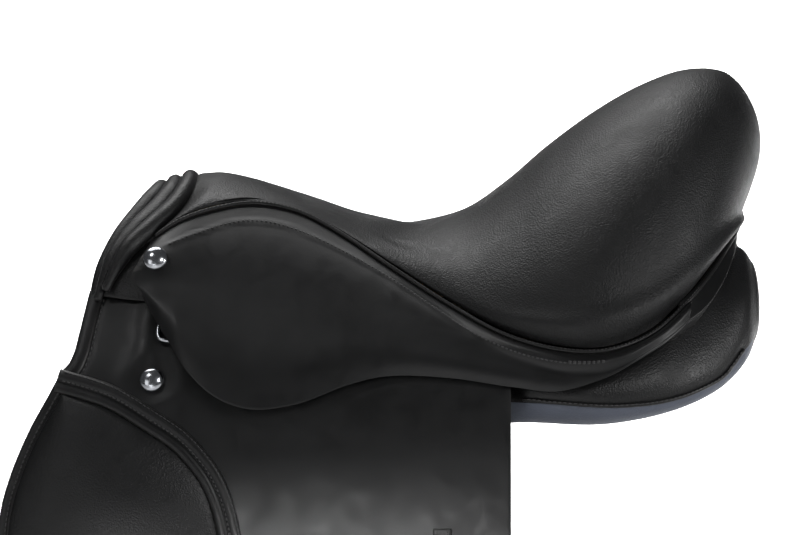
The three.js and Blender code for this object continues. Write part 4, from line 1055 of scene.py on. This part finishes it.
# ---------------------------------------------------------------- panels
def panel_surface():
    """The left panel's closed rings, filled by the simulation and drawn in along its seam."""
    rails = [space_curve([[x, *corners[k]] for x, *corners in PANEL]) for k in range(8)]
    ts = np.concatenate([[0, 0.006], np.linspace(0.015, 0.985, 78), [0.994, 1]])
    sides = np.linspace(0, 1, 48, endpoint=False)
    grid = np.array([Curve([rail.at(t) for rail in rails], closed=True).at(sides) for t in ts])
    if np.mean(normals(grid, wrap=True) * (grid - grid.mean(axis=1, keepdims=True))) < 0:
        grid = grid[:, ::-1]
    x, y, z = grid[..., 0], grid[..., 1], grid[..., 2]
    rear = smooth(x, 78, 120) * (1 - smooth(x, 215, 240))
    free = 5.5 * rear * smooth(-y, 60, 105) * (z < 60) + 0.02
    grid = puffed(grid, free, pressure=4, wrap=True)
    seam = space_curve(PANEL_SEAM).even(DENSE)
    grid = grid - normals(grid, True) * (1.6 * np.exp(-((near_line(grid, seam) / 4.5) ** 2)))[..., None]
    return grid


def make_panels(grid):
    s = loft(list(grid), domed=4.0)
    middles = np.array([s.points[list(f)].mean(axis=0) for f in s.faces])
    way = np.array([np.cross(*(s.points[[f[1], f[-1]]] - s.points[f[0]])) for f in s.faces])
    under = way[:, 2] / np.maximum(np.linalg.norm(way, axis=1), 1e-9)
    if np.sum(way * (middles - s.points.mean(axis=0))) < 0:
        under = -under
    # The bearing leather covers whole strips, up to the seam and short of both ends. Its pale colour is
    # partly its own bluish grey and partly painted light.
    ring = grid.shape[1]
    rows = len(s.faces) // ring
    strips = under[: rows * ring].reshape(rows, ring)
    bearing = (strips[10:-10].mean(axis=0) < -0.2)[None, :] * np.ones((rows, 1), int)
    bearing[:6] = bearing[-8:] = 0
    s.looks = [*bearing.ravel().tolist(), 0, 0]
    pair("panel_stuffed", s, [pad_hide, bearing_hide_with_painted_light], "saddle", ["panel"], "grained_leather", fill=0.8,
         refine=1)

    seam = space_curve(PANEL_SEAM).even(np.linspace(0, 1, 60))
    seam = Curve(nearest_on(grid, seam) + np.array([0, -0.5, 0]))
    s = sweep(seam, lambda t: circle(1.5, 14), 140, (0.1, -0.3, 1), domed=1.0)
    s.add(stitches(s, seam.even(np.linspace(0.01, 0.99, 400)) + np.array([0, -1.5, 0.5]), pitch=3.4,
                   long=2.3, thick=0.42))
    pair("panel_piping", s, [smooth_hide, thread], "saddle", ["panel_welt"], "smooth_leather")

    line = Curve(CHANNEL).at(np.linspace(0, 1, 90))
    grid = np.array([[[x, y, z] for y in np.linspace(-30.5, 30.5, 21)] for x, z in line])
    s = plate(grid, 1.5, edge=0)
    piece("channel_lining_cloth", s, [lining_hide], "saddle", ["channel_lining"], "lining")


def make_seat_welt():
    ts = lerp(0.02, 0.985, np.linspace(0, 1, 200))
    line = Curve(seat_edge.at(ts)[::4] + np.array([0, -1.9, -1.5]))
    s = sweep(line, lambda t: circle(1.5, 12), 300, (0.1, -0.3, 1), domed=1.0)
    row = line.even(np.linspace(0.002, 0.8, 900)) + np.array([0, -0.8, 1.2])
    s.add(stitches(s, row, pitch=2.7, long=1.9, thick=0.36, out=(0, -1, 1)))
    pair("seat_piping", s, [smooth_hide, thread], "saddle", ["seat_welt"], "smooth_leather")


# ---------------------------------------------------------------- girth straps
def billet_half_width(x, z):
    p = BILLET_PLANE
    return p["half_width"] + p["rearwards"] * (x - p["x"]) - p["downwards"] * (z - p["z"])


def in_billet_plane(x, z, out=0.0):
    return np.stack([x, -billet_half_width(x, z) - out, z], axis=-1)


def punched_strap(x, half, top, bottom, thick, holes, hole=2.2):
    """A strap with real holes, its end rounded to a blunt point. holes are their z."""
    around = np.linspace(0, 2 * math.pi, 16, endpoint=False) + math.pi / 4
    pitch = abs(holes[1] - holes[0]) / 2
    faces, points = [], []

    def put(px, pz):
        points.append([px, pz])
        return len(points) - 1

    for z in holes:
        rim = [put(x + hole * math.cos(a), z + hole * math.sin(a)) for a in around]
        edge = []
        for a in around:
            c, s = math.cos(a), math.sin(a)
            reach = min(half / max(abs(c), 1e-6), pitch / max(abs(s), 1e-6))
            edge.append(put(x + c * reach, z + s * reach))
        faces += [(rim[k], rim[(k + 1) % 16], edge[(k + 1) % 16], edge[k]) for k in range(16)]
        for k, (right, up) in zip((0, 4, 8, 12), ((1, 1), (-1, 1), (-1, -1), (1, -1))):
            points[edge[k]] = [x + half * right, z + pitch * up]
    xs = np.linspace(-half, half, 9)

    def band(z0, z1, steps, narrow=lambda t: 1.0):
        grid = [[put(x + w * narrow(t), lerp(z0, z1, t)) for w in xs] for t in np.linspace(0, 1, steps + 1)]
        for a, b in zip(grid, grid[1:]):
            faces.extend((a[k], b[k], b[k + 1], a[k + 1]) for k in range(8))

    band(top, holes[0] + pitch, 10)
    band(holes[-1] - pitch, bottom, 12, lambda t: 1 - 0.62 * max(0, t - 0.35) ** 2 / 0.42)
    flat = np.array(points)
    outer = in_billet_plane(flat[:, 0], flat[:, 1])
    inner = outer + np.array([0, thick, 0])
    n = len(flat)
    key = {tuple(np.round(p, 3)): k for k, p in reversed(list(enumerate(flat)))}
    same = np.array([key[tuple(np.round(p, 3))] for p in flat])
    faces = [tuple(int(same[i]) for i in f) for f in faces]
    edges = {(f[k], f[(k + 1) % 4]) for f in faces for k in range(4)}
    lone = [(a, b) for a, b in edges if (b, a) not in edges]
    sides = [(b, a, a + n, b + n) for a, b in lone]
    s = Shape(np.vstack([outer, inner]), faces + [tuple(i + n for i in f[::-1]) for f in faces] + sides)
    s.looks = [0] * (2 * len(faces)) + [1] * len(sides)
    return s


def make_billets():
    half = BILLET["width"] / 2
    holes = [-146 - 18 * k for k in range(7)]
    for x, name in zip(BILLET["xs"], ("front", "middle", "rear")):
        s = punched_strap(x, half, BILLET["top"], BILLET["bottom"], BILLET["thick"], holes)
        for side in (-1, 1):
            zs = np.linspace(BILLET["top"] - 3, BILLET["bottom"] + 22, 200)
            s.add(stitches(s, in_billet_plane(np.full(200, x + side * (half - 2.6)), zs), out=(0, -1, 0),
                           look=2))
        pair(f"billet_strap_{name}", s, [smooth_hide, cut_edge, thread], "billets_*", [f"billet_{name}"],
             "smooth_leather")

    g = GUARD
    mid = (g["front"] + g["rear"]) / 2
    half_long = (g["rear"] - g["front"]) / 2
    shift = BILLET["thick"] / 2
    deep = shift + g["room"] + g["wall"]
    ring = [(x, way) for x0, x1, way in ((g["front"], g["rear"], 1), (g["rear"], g["front"], -1))
            for x in np.linspace(x0, x1, 30)]
    outer, inner = [], []
    for z in np.linspace(g["top"], g["bottom"], 17):
        o, i = [], []
        for x, way in ring:
            round_off = math.sqrt(max(0.02, 1 - max(0, abs(x - mid) / half_long - 0.93) ** 2 / 0.07**2))
            base = in_billet_plane(np.array(x), np.array(z)) + np.array([0, shift, 0])
            o.append(base - np.array([0, way * deep * round_off, 0]))
            short = mid + (x - mid) * (half_long - g["wall"]) / half_long
            base = in_billet_plane(np.array(short), np.array(z)) + np.array([0, shift, 0])
            i.append(base - np.array([0, way * (deep - g["wall"]) * round_off, 0]))
        outer.append(o)
        inner.append(i)
    outer, inner = np.array(outer), np.array(inner)
    n, m = outer.shape[:2]
    size = n * m
    quads = cells(n, m, wrap=True)
    faces = [tuple(f) for f in quads.tolist()] + [tuple(f) for f in (quads[:, ::-1] + size).tolist()]
    for row in (0, n - 1):
        faces += [(row * m + j, row * m + (j + 1) % m, row * m + (j + 1) % m + size,
                   row * m + j + size) for j in range(m)]
    s = Shape(np.vstack([outer.reshape(-1, 3), inner.reshape(-1, 3)]), faces)
    for row in (1, n - 2):
        s.add(stitches(s, outer[row, 2:28], out=(0, -1, 0)))
    pair("girth_guard_sleeve", s, [smooth_hide, thread], "girth_guard_*", ["girth_guard"], "smooth_leather")

    web = Curve(WEB_LINE).at(np.linspace(0, 1, 50))
    xs = np.linspace(-58, 46, 45)
    grid = np.array([[[x, -(billet_half_width(x, z) - d - 0.26 * max(0, z + 30)), z] for z, d in web]
                     for x in xs])
    s = plate(grid, grid + np.array([0, 1.6, 0]), bevel=0.4)
    for z in (-42, -56):
        s.add(stitches(s, [[x, -(billet_half_width(x, z) - 4.2), z] for x in (-54, 42)], out=(0, -1, 0)))
    pair("billet_webbing", s, [webbing, thread], "saddle", ["billet_web"], "webbing")


# ---------------------------------------------------------------- metal
def make_metal():
    place = flap_frame(DEE["x"], DEE["z"], DEE["aim"], DEE["lift"])
    h, d = DEE["wide"] / 2, DEE["deep"]
    line = [[0, -h + 2], [0, 0], [0, h - 2], [3, h], [d * 0.55, h * 0.8], [d, 0], [d * 0.55, -h * 0.8],
            [3, -h]]
    s = sweep(Curve([[x, 0, z] for x, z in line], closed=True), lambda t: circle(DEE["wire"], 16), 110,
              (0, 1, 0), endless=True)
    pair("dee_ring", s.placed(place), [chrome], "dee_*", ["dee"], "bright_metal")

    inner, outer = DEE["wire"] + 0.8, DEE["wire"] + 1.9
    arc = np.linspace(math.pi - 0.34, -math.pi + 0.34, 40)
    tab = [[-24, 0.8], [-12, 0.8]]
    out = tab + [[outer * math.cos(a), outer * math.sin(a)] for a in arc] + [[-12, -0.8], [-24, -0.8]]
    ring = [[inner * math.cos(a), inner * math.sin(a)] for a in arc]
    grid_out = np.array([[[x, y, w] for w in np.linspace(-7, 7, 9)] for x, y in out])
    pinch = [[-24, 0.05], [-12, 0.05], *ring, [-12, -0.05], [-24, -0.05]]
    grid_in = np.array([[[x, y, w] for w in np.linspace(-7, 7, 9)] for x, y in pinch])
    s = plate(grid_out, grid_in, bevel=0)
    pair("dee_clip_plate", s.placed(place), [steel], "saddle", ["dee_clip"], "steel")

    for node, mat in (("tree", wood), ("head_plate", steel)):
        dress(node, mat)
    for side, _ in SIDES:
        for node in ("stirrup_bar", "bar_catch"):
            dress(f"{node}_{side}", steel)


def dress(node, mat):
    """A CAD node that stays: a better material, and its edges eased."""
    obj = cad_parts[node]
    obj.data.materials.clear()
    obj.data.materials.append(mat)
    ease = obj.modifiers.new("eased_edges", "BEVEL")
    ease.width, ease.segments, ease.limit_method, ease.angle_limit = 0.5 * MM, 2, "ANGLE", 0.6


# ---------------------------------------------------------------- studio
def look_at(obj, target):
    obj.rotation_euler = (Vector(target) - obj.location).to_track_quat("-Z", "Y").to_euler()


def area_light(name, place, target, size, power, spread=180):
    data = bpy.data.lights.new(name, "AREA")
    data.spread = math.radians(spread)
    data.shape, data.size, data.size_y = "RECTANGLE", size[0], size[1]
    data.energy = power
    obj = bpy.data.objects.new(name, data)
    obj.location = place
    bpy.context.scene.collection.objects.link(obj)
    look_at(obj, target)


FLOOR_Z = FLAP_BOTTOM_Z * MM - 0.002
CAMERA = {"aim": Vector((0, 0, 0.045)), "distance": 2.6, "elevation": math.radians(6),
          "lens": 36 * 3714 / 800}
# A curved sweep behind the saddle: where it starts to rise, its radius and how far round it goes.
SWEEP_START, SWEEP_RADIUS, SWEEP_ANGLE, HALF_FLOOR = 1.5, 1.4, math.radians(52), 7.0
# Name, place, target, size and power of each soft light.
AREA_LIGHTS = [
    ("overhead", (-0.45, 0.85, 1.7), (0.05, 0, 0.05), (1.5, 1.0), 20),
    ("key", (1.25, -2.1, 1.25), (0, 0, 0), (0.5, 0.5), 12),
    ("fill", (-1.7, -1.9, 0.5), (0, 0, 0), (0.9, 1.2), 3.5),
    ("high_left", (-1.4, -1.25, 2.4), (0, 0, 0), (0.5, 0.5), 5),
    ("right_side", (2.3, -1.1, 0.35), (0.1, 0, 0), (0.5, 0.5), 14),
    ("low_strip", (-0.8, -2.35, -0.13), (0.05, 0, -0.12), (0.8, 0.2), 1.7),
]
BEAM = {"place": (-0.55, -2.07, 0.09), "target": (-0.03, -0.17, -0.60), "power": 95,
        "wide": math.radians(28)}


def make_studio():
    scene = bpy.context.scene
    aim, elevation = CAMERA["aim"], CAMERA["elevation"]
    cam = bpy.data.objects.new("camera", bpy.data.cameras.new("camera"))
    cam.data.sensor_width = 36
    cam.data.lens = CAMERA["lens"]
    cam.location = aim + Vector((0, -math.cos(elevation), math.sin(elevation))) * CAMERA["distance"]
    look_at(cam, aim)
    scene.collection.objects.link(cam)
    scene.camera = cam

    profile = [[y, FLOOR_Z] for y in (-9.0, -3.0, 0.0, SWEEP_START)]
    profile += [[SWEEP_START + SWEEP_RADIUS * math.sin(a), FLOOR_Z + SWEEP_RADIUS * (1 - math.cos(a))]
                for a in np.linspace(0.05, SWEEP_ANGLE, 15)]
    profile += [[6.0, 0.42], [10.0, 0.8]]
    points = [(x, y, z) for x in (-HALF_FLOOR, HALF_FLOOR) for y, z in profile]
    n = len(profile)
    floor_mesh = bpy.data.meshes.new("floor")
    floor_mesh.from_pydata(points, [], [(k, n + k, n + k + 1, k + 1) for k in range(n - 1)])
    floor_mesh.shade_smooth()
    floor = bpy.data.objects.new("floor", floor_mesh)
    scene.collection.objects.link(floor)
    mat, tree, shader, coords, node = material("pale_floor")
    noise = node("TexNoise", {"Vector": coords, "Scale": 3.0}).outputs["Fac"]
    tree.links.new(ramp(node, noise, [(0.3, (0.86, 0.86, 0.86)), (0.7, (0.9, 0.9, 0.9))]),
                   shader.inputs["Base Color"])
    shader.inputs["Roughness"].default_value = 0.8
    shader.inputs["Specular IOR Level"].default_value = 0.1
    floor_mesh.materials.append(mat)

    world = bpy.data.worlds.new("studio")
    world.use_nodes = True
    world.node_tree.nodes["Background"].inputs["Color"].default_value = (0.95, 0.97, 1, 1)
    world.node_tree.nodes["Background"].inputs["Strength"].default_value = 0.05
    scene.world = world
    scene.view_settings.view_transform = "Standard"
    for name, place, target, size, power in AREA_LIGHTS:
        area_light(name, place, target, size, power)
    area_light("backdrop", (0, 1.1, 2.9), (0, 1.9, -0.1), (3, 0.8), 90, spread=70)
    low = bpy.data.lights.new("low_beam", "SPOT")
    low.energy, low.spot_size, low.spot_blend, low.shadow_soft_size = BEAM["power"], BEAM["wide"], 0.2, 0.05
    beam = bpy.data.objects.new("low_beam", low)
    beam.location = BEAM["place"]
    scene.collection.objects.link(beam)
    look_at(beam, BEAM["target"])


make_seat()
make_layers()
make_pommel()
panel = panel_surface()
make_cantle(panel)
make_flap()
make_knee()
make_keeper()
make_sweat_flap()
make_skirt()
make_nails()
make_panels(panel)
make_seat_welt()
make_billets()
make_metal()
make_studio()
